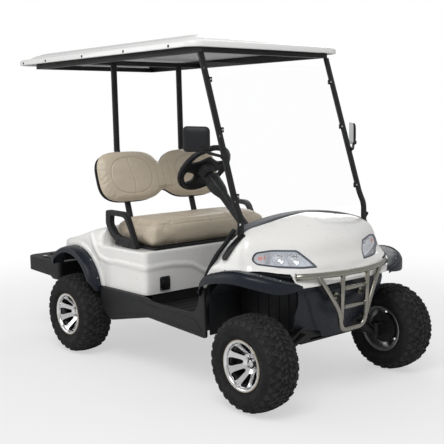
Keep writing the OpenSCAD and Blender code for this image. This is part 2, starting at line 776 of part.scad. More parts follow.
module steering_column() {
    color("#191a1c") difference() {
        union() {
            along_column(-560) cylinder(h = 520, r = column_r);
            along_column(-200) linear_extrude(160) rounded_square(90, 80, 20);
        }
        along_column(-461) cylinder(h = 430, r = shaft_r + run);
    }
}

module steering_wheel() {
    color("#141517") {
        along_column(0) rotate_extrude($fn = 72)
            translate([steer_wheel_r - steer_rim_r, 0]) circle(steer_rim_r);
        along_column(-32) cylinder(h = 34, r = 52);
        along_column(-400) cylinder(h = 380, r = shaft_r);
        for (a = [0, 120, 240]) along_column(-12) rotate([0, 0, a])
            translate([40, -24, 0]) cube([steer_wheel_r - 54, 48, 18]);
    }
}

// ---------- brush guard ----------

guard_z = 690;
rung_z = [605, 503];

// Where the uprights' middle stands at height z
function upright_x(z) = 203 - 0.054 * (guard_z - z);

module brush_guard() {
    r = guard_r - 3;
    bar = [[114, guard_half_w - 5, guard_z], [161, 259, guard_z], [203, 96, guard_z]];
    leg = [[166, 250, guard_z], [192, 120, 492], [184, 94, 398], [180, 70, 376]];
    color("#a9a39b") {
        bent_rod(concat(bar, [for (i = [2:-1:0]) [bar[i].x, -bar[i].y, bar[i].z]]), guard_r);
        bent_rod(concat(leg, [for (i = [3:-1:0]) [leg[i].x, -leg[i].y, leg[i].z]]), r);
        both_sides() rod([203, 100, guard_z], [upright_x(452), 100, 452], r - 1);
        for (z = rung_z) rod([upright_x(z), -100, z], [upright_x(z), 100, z], r - 2);
        both_sides() rod([upright_x(560), 100, 560], [150.5 + gap, 100, 560], 8);
    }
}

// ---------- the cart ----------

vehicle() chassis_frame();
vehicle() floor_pan();
vehicle() battery_pack();
vehicle() front_cowl();
vehicle() front_fascia();
vehicle() front_flares();
vehicle() rear_body();
vehicle() rear_flares();
vehicle() rocker_panels();
vehicle() bag_tray();
vehicle() charger_socket();
vehicle() seat_pan();
vehicle() seat_cushion();
vehicle() backrest_shell();
vehicle() backrest_cushion();
vehicle() armrests();
vehicle() windshield_posts();
vehicle() roof_posts();
vehicle() windshield();
vehicle() roof_top();
vehicle() roof_frame();
vehicle() mirrors();
vehicle() dashboard();
vehicle() pedals();
vehicle() steering_column();
vehicle() steering_wheel();
vehicle() headlights();
vehicle() tail_lights();
vehicle() brush_guard();
vehicle() front_suspension();
vehicle() knuckle_left();
vehicle() knuckle_right();
vehicle() rear_axle();
vehicle() rear_springs();
vehicle() rim_front_left();
vehicle() rim_front_right();
vehicle() rim_rear_left();
vehicle() rim_rear_right();
vehicle() tyre_front_left();
vehicle() tyre_front_right();
vehicle() tyre_rear_left();
vehicle() tyre_rear_right();
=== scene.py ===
"""Golf cart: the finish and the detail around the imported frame.

Every length is in metres, but for the rows in mm() and on_rim(). Places are given from the front
axle at ground height, with +X forwards and +Y to the cart's left, and at() turns them into the
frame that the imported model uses.
"""
import json
from math import atan, copysign, cos, hypot, pi, radians, sin

import bmesh
import bpy
import numpy as np
from mathutils import Matrix, Vector
from mathutils.bvhtree import BVHTree


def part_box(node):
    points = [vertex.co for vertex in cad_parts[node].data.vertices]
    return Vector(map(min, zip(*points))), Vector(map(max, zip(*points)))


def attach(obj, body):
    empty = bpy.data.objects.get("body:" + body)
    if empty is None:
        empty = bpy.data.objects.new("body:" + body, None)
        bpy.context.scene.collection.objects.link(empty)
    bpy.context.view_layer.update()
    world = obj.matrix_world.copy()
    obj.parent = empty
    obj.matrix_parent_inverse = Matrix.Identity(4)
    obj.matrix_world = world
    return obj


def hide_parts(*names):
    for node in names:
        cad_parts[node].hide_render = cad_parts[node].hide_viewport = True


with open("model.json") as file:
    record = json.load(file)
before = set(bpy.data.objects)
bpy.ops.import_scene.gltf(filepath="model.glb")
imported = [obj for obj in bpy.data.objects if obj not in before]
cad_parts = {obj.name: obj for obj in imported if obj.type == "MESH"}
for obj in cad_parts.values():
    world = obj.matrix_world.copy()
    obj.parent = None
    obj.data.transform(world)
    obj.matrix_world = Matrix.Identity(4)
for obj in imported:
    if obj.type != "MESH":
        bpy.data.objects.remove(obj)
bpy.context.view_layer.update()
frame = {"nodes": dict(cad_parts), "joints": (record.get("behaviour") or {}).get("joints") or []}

bl_info = {
    "name": "Golf cart finish",
    "version": (1, 0, 0),
    "blender": (4, 5, 0),
    "location": "3D View > Sidebar > Golf cart",
    "description": "Builds the panels, wheels, seats, glass and trim of a two-seat golf cart",
    "category": "Object",
}

# ---------- places taken from the frame ----------

JOINTS = {joint["name"]: joint for joint in frame["joints"]}
FRONT_AXLE = Vector(JOINTS["spin_front_left"]["pos_m"])
REAR_AXLE = Vector(JOINTS["spin_rear_left"]["pos_m"])
COLUMN_TOP = Vector(JOINTS["steering_turn"]["pos_m"])
COLUMN_AXIS = Vector(JOINTS["steering_turn"]["axis"]).normalized()
AXLE_X = FRONT_AXLE.x
AXLE_Z = FRONT_AXLE.z
REAR_X = REAR_AXLE.x - AXLE_X
UP = Vector((0, 0, 1))
WHEELS = (("front_left", "wheel_front_l", JOINTS["spin_front_left"], 1),
    ("front_right", "wheel_front_r", JOINTS["spin_front_right"], -1),
    ("rear_left", "wheel_rear_l", JOINTS["spin_rear_left"], 1),
    ("rear_right", "wheel_rear_r", JOINTS["spin_rear_right"], -1))


def at(x, y, z):
    """A place given from the front axle, in the model's own frame."""
    return Vector((AXLE_X + x, y, z))


def span(node):
    """A node's box, given from the front axle: lowest corner, highest corner."""
    low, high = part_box(node)
    shift = Vector((AXLE_X, 0, 0))
    return low - shift, high - shift


def mm(*rows):
    """Rows of numbers given in millimetres, as tuples in metres."""
    return [tuple(v / 1000 for v in row) for row in rows]


# ---------- settings ----------

def length(name, default, description):
    return bpy.props.FloatProperty(name=name, description=description, default=default, min=0,
        subtype="DISTANCE", unit="LENGTH")


def colour(name, default, description):
    return bpy.props.FloatVectorProperty(name=name, description=description, default=default, min=0,
        max=1, size=3, subtype="COLOR")


def count(name, default, description):
    return bpy.props.IntProperty(name=name, description=description, default=default, min=1)


class CartSizes(bpy.types.PropertyGroup):
    """Sizes that change the look and not the frame."""
    panel: length("Panel thickness", 0.006, "Thickness of a painted panel at its edges")
    stitch: length("Stitch length", 0.011, "Length of one stitch with its space")
    lug: length("Tread depth", 0.0065, "Height of a tread block above the tread's base")
    lug_pitches: count("Tread pitches", 28, "Times that the tread pattern repeats round a tyre")
    bolt: length("Bolt head", 0.01, "Width across a body bolt's head")


class CartColours(bpy.types.PropertyGroup):
    """Colours of the painted, moulded and covered surfaces."""
    body: colour("Body", (0.87, 0.862, 0.84), "Pearl paint of the cowl and the rear body")
    roof: colour("Roof", (0.82, 0.82, 0.81), "Gel coat of the roof")
    trim: colour("Trim", (0.0065, 0.0095, 0.0165), "Navy moulded apron and wheel flares")
    cabin: colour("Cabin", (0.0085, 0.009, 0.0105), "Black moulded cabin parts")
    seat: colour("Seat", (0.6, 0.515, 0.395), "Beige seat vinyl")
    alloy: colour("Alloy", (0.86, 0.86, 0.86), "Machined faces of the rims")
    rubber: colour("Rubber", (0.0095, 0.0095, 0.01), "Tyre rubber")


def sizes():
    return bpy.context.scene.cart_sizes


def colours():
    return bpy.context.scene.cart_colours


# ---------- materials ----------

class Finish:
    """A material in the making: its nodes by short calls, all on Object coordinates."""

    def __init__(self, name, base, roughness, metallic=0.0):
        self.material = bpy.data.materials.new(name)
        self.material.use_nodes = True
        self.tree = self.material.node_tree
        self.shader = self.tree.nodes["Principled BSDF"]
        self.shader.inputs["Base Color"].default_value = (*base, 1)
        self.shader.inputs["Roughness"].default_value = roughness
        self.shader.inputs["Metallic"].default_value = metallic
        self.base = tuple(base)
        self.rough = roughness
        self.place = self.node("ShaderNodeTexCoord").outputs["Object"]

    def node(self, kind, **values):
        made = self.tree.nodes.new(kind)
        for key, value in values.items():
            if hasattr(made, key):
                setattr(made, key, value)
            else:
                made.inputs[key.replace("_", " ")].default_value = value
        return made

    def link(self, out, socket):
        self.tree.links.new(out, socket)

    def set(self, **values):
        for key, value in values.items():
            self.shader.inputs[key.replace("_", " ")].default_value = value
        return self

    def stretched(self, scale):
        mapping = self.node("ShaderNodeMapping", Scale=scale)
        self.link(self.place, mapping.inputs["Vector"])
        return mapping.outputs["Vector"]

    def noise(self, scale, detail=2.0, place=None, roughness=0.5):
        made = self.node("ShaderNodeTexNoise", Scale=scale, Detail=detail, Roughness=roughness)
        self.link(place or self.place, made.inputs["Vector"])
        return made.outputs["Fac"]

    def cells(self, scale, feature="F1", place=None):
        made = self.node("ShaderNodeTexVoronoi", Scale=scale, feature=feature)
        self.link(place or self.place, made.inputs["Vector"])
        return made.outputs["Distance"]

    def remap(self, out, low, high, new_low, new_high):
        made = self.node("ShaderNodeMapRange")
        for key, value in (("From Min", low), ("From Max", high), ("To Min", new_low), ("To Max", new_high)):
            made.inputs[key].default_value = value
        self.link(out, made.inputs["Value"])
        return made.outputs["Result"]

    def mix(self, factor, first, second):
        made = self.node("ShaderNodeMix", data_type="RGBA")
        self.link(factor, made.inputs["Factor"])
        for socket, value in ((made.inputs[6], first), (made.inputs[7], second)):
            if isinstance(value, (tuple, list)):
                socket.default_value = (*value, 1)
            else:
                self.link(value, socket)
        return made.outputs[2]

    def tint(self, out, low, high, amount, other):
        """Blends the base colour towards another where a pattern goes from low to high."""
        return self.blend(self.remap(out, low, high, 0.0, amount), other)

    def blend(self, factor, other):
        socket = self.shader.inputs["Base Color"]
        first = socket.links[0].from_socket if socket.is_linked else self.base
        self.link(self.mix(factor, first, other), socket)
        return self

    def shine(self, out, low, high):
        self.link(self.remap(out, 0.3, 0.7, low, high), self.shader.inputs["Roughness"])
        return self

    def relief(self, out, depth, strength=1.0):
        """Adds a bump of that depth in metres, over any bump already there."""
        made = self.node("ShaderNodeBump", Strength=strength, Distance=depth)
        self.link(out, made.inputs["Height"])
        socket = self.shader.inputs["Normal"]
        if socket.is_linked:
            self.link(socket.links[0].from_socket, made.inputs["Normal"])
        self.link(made.outputs["Normal"], socket)
        return self

    def low_dust(self, top, dust, amount):
        """Dust that fades out at height top above the ground."""
        split = self.node("ShaderNodeSeparateXYZ")
        self.link(self.place, split.inputs["Vector"])
        height = self.remap(split.outputs["Z"], 0.0, top, 1.0, 0.0)
        patches = self.remap(self.noise(9, 4), 0.35, 0.7, 0.0, amount)
        made = self.node("ShaderNodeMath", operation="MULTIPLY")
        self.link(height, made.inputs[0])
        self.link(patches, made.inputs[1])
        return self.blend(made.outputs["Value"], dust)


def shade(rgb, factor):
    return tuple(min(1.0, c * factor) for c in rgb)


def gloss_paint(name, base):
    paint = Finish(name, base, 0.32)
    paint.set(Coat_Weight=1.0, Coat_Roughness=0.05, Coat_IOR=1.5)
    paint.tint(paint.noise(2.2, 3), 0.3, 0.7, 0.5, shade(base, 0.965))
    paint.tint(paint.cells(2600), 0.0, 0.35, 0.12, shade(base, 1.12))
    paint.shine(paint.noise(30, 3), 0.26, 0.38)
    paint.relief(paint.noise(260, 1), 0.00012, 0.5)
    return paint.low_dust(0.75, (0.42, 0.39, 0.34), 0.16).material


def moulded(name, base, roughness, grain=900, depth=0.00035, dust=0.1):
    plastic = Finish(name, base, roughness)
    plastic.set(Specular_IOR_Level=0.34)
    plastic.tint(plastic.noise(5, 4), 0.35, 0.7, 0.4, shade(base, 1.25))
    plastic.shine(plastic.noise(40, 3), roughness - 0.05, roughness + 0.06)
    plastic.relief(plastic.cells(grain), depth, 0.7)
    return plastic.low_dust(0.8, (0.2, 0.185, 0.165), dust).material


def powder_coat(name, base, roughness=0.38):
    coat = Finish(name, base, roughness)
    coat.set(Specular_IOR_Level=0.38)
    coat.tint(coat.noise(14, 3), 0.4, 0.7, 0.5, shade(base, 1.6))
    coat.shine(coat.noise(60, 3), roughness - 0.06, roughness + 0.1)
    coat.relief(coat.noise(700, 2), 0.0003, 0.5)
    return coat.low_dust(0.5, (0.2, 0.185, 0.165), 0.03).material


def metal(name, base, roughness, streak=(1, 1, 1), tarnish=0.75):
    made = Finish(name, base, roughness, metallic=1.0)
    lines = made.noise(180, 3, made.stretched(streak))
    made.tint(made.noise(11, 4), 0.35, 0.75, 0.55, shade(base, tarnish))
    made.shine(lines, roughness - 0.07, roughness + 0.1)
    return made.relief(lines, 0.0001, 0.35).material


def rubber(name, base):
    made = Finish(name, base, 0.78)
    made.set(Specular_IOR_Level=0.24)
    made.tint(made.noise(16, 5), 0.35, 0.7, 0.75, shade(base, 2.3))
    made.tint(made.noise(90, 4), 0.52, 0.75, 0.35, (0.04, 0.038, 0.035))
    made.shine(made.noise(55, 4), 0.66, 0.9)
    made.relief(made.noise(420, 3), 0.0006, 0.6)
    return made.material


def vinyl(name, base):
    """Seat vinyl: a fine leather grain, soft creases, and a faint sheen."""
    made = Finish(name, base, 0.42)
    made.set(Sheen_Weight=0.08, Coat_Weight=0.12, Coat_Roughness=0.3)
    creases = made.noise(13, 5, made.stretched((1.0, 0.55, 2.2)), roughness=0.62)
    made.tint(creases, 0.38, 0.68, 0.6, shade(base, 0.8))
    made.tint(made.noise(3, 3), 0.35, 0.7, 0.5, shade(base, 1.14))
    made.shine(creases, 0.34, 0.5)
    made.relief(made.cells(1050, "DISTANCE_TO_EDGE"), 0.0003, 0.55)
    made.relief(creases, 0.0045, 0.5)
    return made.material


def clear(name, tint, alpha, roughness=0.02):
    made = Finish(name, tint, roughness)
    made.set(Alpha=alpha, Coat_Weight=1.0, Coat_Roughness=0.02)
    made.relief(made.noise(6, 2), 0.0004, 0.25)
    made.tint(made.noise(25, 4), 0.5, 0.8, 0.35, shade(tint, 0.85))
    return made.material


def lamp_colour(name, base, painted_glow=0.0):
    """Moulded lamp plastic with fine optics pressed into it, with a painted glow: an emission that brightens
    the part as painted light, not a lit lamp.
    """
    made = Finish(name, base, 0.12)
    # The emission here is a painted glow: painted light on lamp parts that are not lit.
    made.set(Coat_Weight=1.0, Coat_Roughness=0.03, Emission_Color=(*base, 1), Emission_Strength=painted_glow)
    made.tint(made.noise(60, 3), 0.4, 0.7, 0.5, shade(base, 0.6))
    return made.relief(made.cells(240, place=made.stretched((1, 1, 2))), 0.001, 0.6).material


MATERIALS = {}


def make_materials():
    """Every finish on the cart, by its short name."""
    c = colours()
    black = (0.005, 0.0052, 0.006)
    MATERIALS.update({
        "body": gloss_paint("Pearl white paint", c.body),
        "roof": gloss_paint("Roof gel coat", c.roof),
        "liner": moulded("Roof liner", (0.47, 0.475, 0.48), 0.5, 500, 0.0004, 0.0),
        "trim": moulded("Navy moulded trim", c.trim, 0.3, 1100, 0.00018, 0.03),
        # The well liner is black plastic made darker still: its own black, plus painted shade of the deep
        # wells.
        "arch": moulded("Wheel well liner with painted shade", (0.0035, 0.0045, 0.007), 0.55, 420, 0.0008, 0.05),
        "cabin": moulded("Black cabin plastic", c.cabin, 0.42, 800, 0.0005, 0.03),
        "dash": moulded("Dash plastic", (0.075, 0.08, 0.09), 0.42, 900, 0.0003, 0.0),
        "tray": moulded("Bag tray plastic", (0.0095, 0.0095, 0.01), 0.55, 360, 0.0012, 0.05),
        "mat": moulded("Floor mat", (0.005, 0.005, 0.0056), 0.7, 260, 0.0016, 0.04),
        "frame": powder_coat("Black powder coat", black),
        "chassis": powder_coat("Chassis paint", (0.006, 0.006, 0.0066), 0.5),
        "gear": powder_coat("Cast running gear", (0.012, 0.012, 0.013), 0.55),
        "steel": metal("Satin guard steel", (0.34, 0.33, 0.29), 0.22, (1, 0.12, 1)),
        "alloy": metal("Machined alloy", c.alloy, 0.14, (1, 6, 1), 0.86),
        "barrel": metal("Rim barrel", (0.33, 0.335, 0.345), 0.34, (1, 5, 1), 0.55),
        "lip": metal("Rim lip", (0.5, 0.44, 0.36), 0.26, (1, 8, 1), 0.7),
        "pocket": powder_coat("Black rim pockets", (0.008, 0.008, 0.009), 0.3),
        "chrome": metal("Chromed hardware", (0.74, 0.74, 0.75), 0.12, (1, 1, 1), 0.8),
        "bolt": metal("Zinc bolts", (0.5, 0.5, 0.49), 0.3, (1, 1, 1), 0.6),
        "rubber": rubber("Tyre rubber", c.rubber),
        # Tread rubber is lighter than the sidewall rubber: a painted highlight for the light that catches
        # the tread blocks.
        "tread": rubber("Tread rubber with painted highlight", shade(c.rubber, 2.1)),
        "seal": rubber("Black edge seal", (0.01, 0.011, 0.013)),
        "seat": vinyl("Beige cushion vinyl", c.seat),
        "thread": vinyl("Cushion thread", shade(c.seat, 0.62)),
        "pane": clear("Clear windshield", (0.8, 0.84, 0.86), 0.022),
        "lens": clear("Headlight lens", (0.86, 0.9, 0.95), 0.14),
        "bowl": metal("Lamp reflector", (0.93, 0.94, 0.96), 0.16, (1, 1, 1), 0.75),
        # The housing, the bulbs and the tail lens glow by a painted emission: painted light, not lit lamps.
        "housing": lamp_colour("Lamp housing", (0.8, 0.83, 0.88), 0.16),
        "lamp_rim": powder_coat("Lamp frame", (0.055, 0.065, 0.085), 0.3),
        "amber": lamp_colour("Amber bulb", (0.75, 0.13, 0.03), 0.25),
        "bulb": lamp_colour("Clear bulb", (0.8, 0.82, 0.86), 0.2),
        "tail": lamp_colour("Red tail lens", (0.5, 0.012, 0.014), 0.12),
        "mirror": metal("Mirror glass", (0.8, 0.82, 0.84), 0.03),
        "battery": moulded("Battery case", (0.05, 0.052, 0.056), 0.5, 600, 0.0004),
    })

# ---------- shapes ----------

class Shape:
    """Corners and faces of a piece in the making."""

    def __init__(self, points=(), faces=()):
        self.points = [Vector(p) for p in points]
        self.faces = [tuple(f) for f in faces]

    def add(self, *others):
        for other in others:
            start = len(self.points)
            self.points += other.points
            self.faces += [tuple(i + start for i in f) for f in other.faces]
        return self

    def copy(self):
        return Shape(self.points, self.faces)

    def moved(self, matrix):
        return Shape([matrix @ p for p in self.points], self.faces)

    def mirrored(self):
        return Shape([(p.x, -p.y, p.z) for p in self.points], [f[::-1] for f in self.faces])

    def both(self):
        return self.copy().add(self.mirrored())

    def side(self, s):
        return self if s > 0 else self.mirrored()


def loft(rings, loop=False, caps=True):
    """A skin over closed rings of equally many points."""
    n = len(rings[0])
    last = len(rings) if loop else len(rings) - 1
    faces = []
    for i in range(last):
        a, b = i * n, (i + 1) % len(rings) * n
        faces += [(a + j, a + (j + 1) % n, b + (j + 1) % n, b + j) for j in range(n)]
    if caps and not loop:
        faces += [tuple(range(n))[::-1], tuple(range((len(rings) - 1) * n, len(rings) * n))]
    return Shape([p for ring in rings for p in ring], faces)


def prism(outline, low, high, axis="y"):
    """A closed plate: an outline in the other two axes between two heights on one axis."""
    order = {"x": lambda a, b, h: (h, a, b), "y": lambda a, b, h: (a, h, b), "z": lambda a, b, h: (a, b, h)}
    return loft([[at(*order[axis](a, b, h)) for a, b in outline] for h in (low, high)])


def box(low, high):
    (x0, y0, z0), (x1, y1, z1) = low, high
    return prism([(x0, z0), (x1, z0), (x1, z1), (x0, z1)], y0, y1)


def arc(centre, radius, start, end, steps):
    """Points of an arc in a plane, angles in degrees."""
    return [(centre[0] + radius * cos(radians(start + (end - start) * i / steps)),
        centre[1] + radius * sin(radians(start + (end - start) * i / steps))) for i in range(steps + 1)]


def rounded(corners, radius, steps=5, closed=True):
    """An outline or path with its corners rounded. radius is one value or one for each corner."""
    points = [Vector(c) for c in corners]
    radii = radius if isinstance(radius, (list, tuple)) else [radius] * len(points)
    result = []
    for i, here in enumerate(points):
        if not closed and i in (0, len(points) - 1):
            result.append(here)
            continue
        before, after = points[i - 1], points[(i + 1) % len(points)]
        a, b = before - here, after - here
        reach = min(radii[i], a.length * 0.48, b.length * 0.48)
        start, end = here + a.normalized() * reach, here + b.normalized() * reach
        for k in range(steps + 1):
            t = k / steps
            result.append(start * (1 - t) ** 2 + here * 2 * t * (1 - t) + end * t ** 2)
    return result


def smooth_line(points, per=6):
    """A smooth line through points (Catmull-Rom)."""
    p = [Vector(q) for q in points]
    p = [p[0] * 2 - p[1]] + p + [p[-1] * 2 - p[-2]]
    result = []
    for i in range(1, len(p) - 2):
        for k in range(per):
            t = k / per
            result.append(0.5 * (2 * p[i] + (p[i + 1] - p[i - 1]) * t + (2 * p[i - 1] - 5 * p[i] + 4
                * p[i + 1] - p[i + 2]) * t * t + (3 * p[i] - p[i - 1] - 3 * p[i + 1] + p[i + 2])
                * t ** 3))
    return result + [p[-2]]


def frames_along(path, loop=False, up=None):
    """Right-angled directions (side, up) at each point of a path, without twist."""
    n = len(path)
    result = []
    side = None
    for i in range(n):
        if loop:
            ahead = path[(i + 1) % n] - path[i - 1]
        else:
            ahead = path[min(i + 1, n - 1)] - path[max(i - 1, 0)]
        ahead.normalize()
        if up is not None:
            side = Vector(up).cross(ahead)
        elif side is None:
            side = ahead.orthogonal()
        side = (side - ahead * side.dot(ahead)).normalized()
        result.append((side.copy(), ahead.cross(side)))
    return result


def sweep(path, section, loop=False, up=None):
    """A closed section, a list of (side, up) offsets or a function of the way along, on a path."""
    rings = []
    for i, (p, (side, top)) in enumerate(zip(path, frames_along(path, loop, up))):
        ring = section(i / (len(path) - 1)) if callable(section) else section
        rings.append([p + side * a + top * b for a, b in ring])
    return loft(rings, loop)


def circle(radius, steps=14):
    return [(radius * cos(2 * pi * i / steps), radius * sin(2 * pi * i / steps)) for i in range(steps)]


def bar(width, height, radius=0.003):
    """A flat bar's section with soft corners."""
    w, h = width / 2, height / 2
    return rounded([(-w, -h), (w, -h), (w, h), (-w, h)], radius, 2)


def tube(path, radius, steps=14, loop=False):
    """A round tube with slightly rounded ends."""
    if loop:
        return sweep(path, circle(radius, steps), True)
    ends = [path[0] + (path[1] - path[0]).normalized() * radius * k for k in (0, 0.12)]
    tails = [path[-1] + (path[-2] - path[-1]).normalized() * radius * k for k in (0.12, 0)]
    whole = ends + list(path[1:-1]) + tails
    rings = sweep(whole, circle(radius, steps)).points
    for ring, p in ((range(steps), whole[0]), (range(len(rings) - steps, len(rings)), whole[-1])):
        for k in ring:
            rings[k] = p + (rings[k] - p) * 0.86
    return loft([rings[i:i + steps] for i in range(0, len(rings), steps)])


def lathe(profile, centre, axis, steps=72):
    """A closed profile of (radius, height) points, or an open one from axis to axis, turned."""
    axis = Vector(axis).normalized()
    first = axis.orthogonal().normalized()
    second = axis.cross(first)
    rings = []
    for i in range(steps):
        a = 2 * pi * i / steps
        out = first * cos(a) + second * sin(a)
        rings.append([Vector(centre) + out * r + axis * h for r, h in profile])
    return loft(rings, loop=True)


def knob(profile, centre, axis, steps=24):
    """A turned piece, closed at both ends: profile runs from one end to the other."""
    axis = Vector(axis).normalized()
    first = axis.orthogonal().normalized()
    second = axis.cross(first)
    rings = [[Vector(centre) + axis * h + (first * cos(a) + second * sin(a)) * max(r, 1e-4)
        for a in [2 * pi * i / steps for i in range(steps)]] for r, h in profile]
    return loft(rings)


def placed(name, data):
    """A new object in the scene."""
    made = bpy.data.objects.new(name, data)
    bpy.context.scene.collection.objects.link(made)
    return made


def meshed(name, points, edges, faces):
    """A new mesh object in the scene, from plain lists."""
    mesh = bpy.data.meshes.new(name)
    mesh.from_pydata([tuple(p) for p in points], edges, faces)
    return placed(name, mesh)


def make(name, shape):
    """A mesh object from a shape, with its doubles merged and its faces turned outwards."""
    made = meshed(name, shape.points, [], shape.faces)
    tidy(made)
    return made


def numbers(made, name="co"):
    """One row of x, y, z for each corner of a piece's mesh."""
    rows = np.empty(len(made.data.vertices) * 3)
    made.data.vertices.foreach_get(name, rows)
    return rows.reshape(-1, 3)


def tidy(made, merge=0.00002):
    work = bmesh.new()
    work.from_mesh(made.data)
    bmesh.ops.remove_doubles(work, verts=work.verts, dist=merge)
    bmesh.ops.dissolve_degenerate(work, edges=work.edges, dist=merge / 2)
    bmesh.ops.recalc_face_normals(work, faces=work.faces)
    work.to_mesh(made.data)
    work.free()


def modified(made, kind, **values):
    """Applies one modifier to a piece's mesh."""
    modifier = made.modifiers.new(kind.title(), kind)
    for key, value in values.items():
        setattr(modifier, key, value)
    return flattened(made)


def flattened(made):
    bpy.context.view_layer.update()
    evaluated = made.evaluated_get(bpy.context.evaluated_depsgraph_get())
    mesh = bpy.data.meshes.new_from_object(evaluated)
    made.modifiers.clear()
    made.data = mesh
    return made


def cut(made, shape, operation="DIFFERENCE", keep_cutter=False):
    """Cuts a piece with a closed shape, or with another piece."""
    cutter = make("cutter", shape) if isinstance(shape, Shape) else shape
    faces = len(made.data.polygons)
    before = made.data.copy()
    modified(made, "BOOLEAN", object=cutter, operation=operation, solver="MANIFOLD")
    unchanged = len(made.data.polygons) in (0, faces)
    if unchanged:
        made.data = before
        modified(made, "BOOLEAN", object=cutter, operation=operation, solver="EXACT")
    if not made.data.polygons:
        raise RuntimeError(f"nothing is left of {made.name}")
    if not keep_cutter:
        bpy.data.objects.remove(cutter)
    return made


def softened(made, width, segments=2, angle=32):
    return modified(made, "BEVEL", width=width, segments=segments, limit_method="ANGLE",
        angle_limit=radians(angle), miter_outer="MITER_ARC")


def finish(made, material, replaces=(), angle=34, body="chassis"):
    """Gives a piece its material, its shading and its body, and hides the nodes it stands for."""
    if made.modifiers:
        flattened(made)
    if not any(made.data.materials):
        made.data.materials.clear()
        made.data.materials.append(MATERIALS[material])
    made.data.shade_smooth()
    made.data.set_sharp_from_angle(angle=radians(angle))
    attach(made, body)
    if replaces:
        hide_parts(*replaces)
    return made


def piece(name, shape, material, replaces=(), soft=0.0, segments=2, angle=34, body="chassis"):
    """A finished piece from a shape in one call. soft is the width of its bevelled edges."""
    made = make(name, shape)
    if soft:
        softened(made, soft, segments)
    return finish(made, material, replaces, angle, body)


def repaint(material, *nodes):
    """A better material on nodes whose shape is right."""
    for node in nodes:
        slots = frame["nodes"][node].material_slots
        for place in slots:
            place.material = MATERIALS[material]


# ---------- skins found by a rule ----------

def smooth_max(values, k):
    """The largest of several fields, with the corners between them rounded by about k."""
    stack = np.stack(values)
    top = stack.max(0)
    return top + k * np.log(np.exp((stack - top) / k).sum(0))


def smooth_min(values, k):
    return -smooth_max([-v for v in values], k)


def along(line, x):
    """Height of a smooth line through (x, y) points at x, by monotone cubic steps."""
    px = np.array([p[0] for p in line], float)
    py = np.array([p[1] for p in line], float)
    slope = np.gradient(py, px)
    i = np.clip(np.searchsorted(px, x) - 1, 0, len(px) - 2)
    step = px[i + 1] - px[i]
    t = np.clip((x - px[i]) / step, 0, 1)
    return ((2 * t**3 - 3 * t**2 + 1) * py[i] + (t**3 - 2 * t**2 + t) * step * slope[i]
        + (3 * t**2 - 2 * t**3) * py[i + 1] + (t**3 - t**2) * step * slope[i + 1])


def skin(field, centre, half, cell, level=0.0):
    """The closed surface where field is level, found along rays from centre.

    The rays go through a box of the given half sizes, divided into cells of about that length.
    """
    centre, half = np.array(centre, float), np.array(half, float)
    points, faces, seen = [], [], {}
    steps = [max(4, int(round(2 * h / cell))) for h in half]
    for axis in range(3):
        u, v = (axis + 1) % 3, (axis + 2) % 3
        for sign in (-1, 1):
            grid = {}
            for i in range(steps[u] + 1):
                for j in range(steps[v] + 1):
                    key = [0, 0, 0]
                    key[axis], key[u], key[v] = (steps[axis] if sign > 0 else 0), i, j
                    key = tuple(key)
                    if key not in seen:
                        seen[key] = len(points)
                        points.append([(2 * key[a] / steps[a] - 1) * half[a] for a in range(3)])
                    grid[i, j] = seen[key]
            for i in range(steps[u]):
                for j in range(steps[v]):
                    face = (grid[i, j], grid[i + 1, j], grid[i + 1, j + 1], grid[i, j + 1])
                    faces.append(face if sign > 0 else face[::-1])
    rays = np.array(points)
    rays /= np.linalg.norm(rays, axis=1)[:, None]
    near, far = np.zeros(len(rays)), np.full(len(rays), 2.5)
    for _ in range(34):
        middle = (near + far) / 2
        inside = field(*(centre[:, None] + rays.T * middle)) < level
        near, far = np.where(inside, middle, near), np.where(inside, far, middle)
    return Shape([at(*p) for p in centre + rays * near[:, None]], faces)

# ---------- wheels ----------

TYRE_R = AXLE_Z
TYRE_HALF = (span("tyre_front_left")[1].y - span("tyre_front_left")[0].y) / 2
RIM_R = 0.127
LUG_BASE = 0.007              # how far the tread's base lies inside the tyre's size


def tyre_section(t):
    """A point and the outward direction on the tread's base, t metres from the middle line."""
    flat = TYRE_HALF - 0.052
    crown = TYRE_R - LUG_BASE
    bend = 0.036
    side = abs(t)
    if side < flat:
        height = crown - 0.006 * (side / flat) ** 2
        place, out = (side, height), (0.06 * side / flat, 1.0)
    else:
        a = min((side - flat) / bend, radians(78))
        place = (flat + bend * sin(a), crown - 0.006 - bend * (1 - cos(a)))
        out = (sin(a), cos(a))
        rest = side - flat - bend * a
        if rest > 0:
            place = (place[0] + rest * cos(a), place[1] - rest * sin(a))
    sign = 1 if t >= 0 else -1
    return (place[0] * sign, place[1]), (out[0] * sign, out[1])


def tread_block(outline, height, taper=0.0012, sunk=0.0):
    """A block on the tread from its outline of (round, across) metres, wrapped on the tyre.

    With sunk, only a raised frame stays round a floor that lies that far down.
    """
    middle = [sum(p[i] for p in outline) / len(outline) for i in (0, 1)]
    levels = [(-0.002, -taper, 1.0), (height * 0.85, 0.0, 1.0), (height, taper * 0.6, 1.0)]
    if sunk:
        levels += [(height, 0.0, 0.66), (height - sunk, 0.0, 0.52)]
    rings = []
    for low, inward, share in levels:
        ring = []
        for a, b in outline:
            away = hypot(a - middle[0], b - middle[1])
            k = max(0.2, 1 - inward / max(away, 1e-6)) * share
            a, b = middle[0] + (a - middle[0]) * k, middle[1] + (b - middle[1]) * k
            (y, r), (ny, nr) = tyre_section(b)
            turn = a / TYRE_R
            y, r = y + ny * low, r + nr * low
            ring.append(Vector((r * sin(turn), y, r * cos(turn))))
        rings.append(ring)
    return loft(rings)


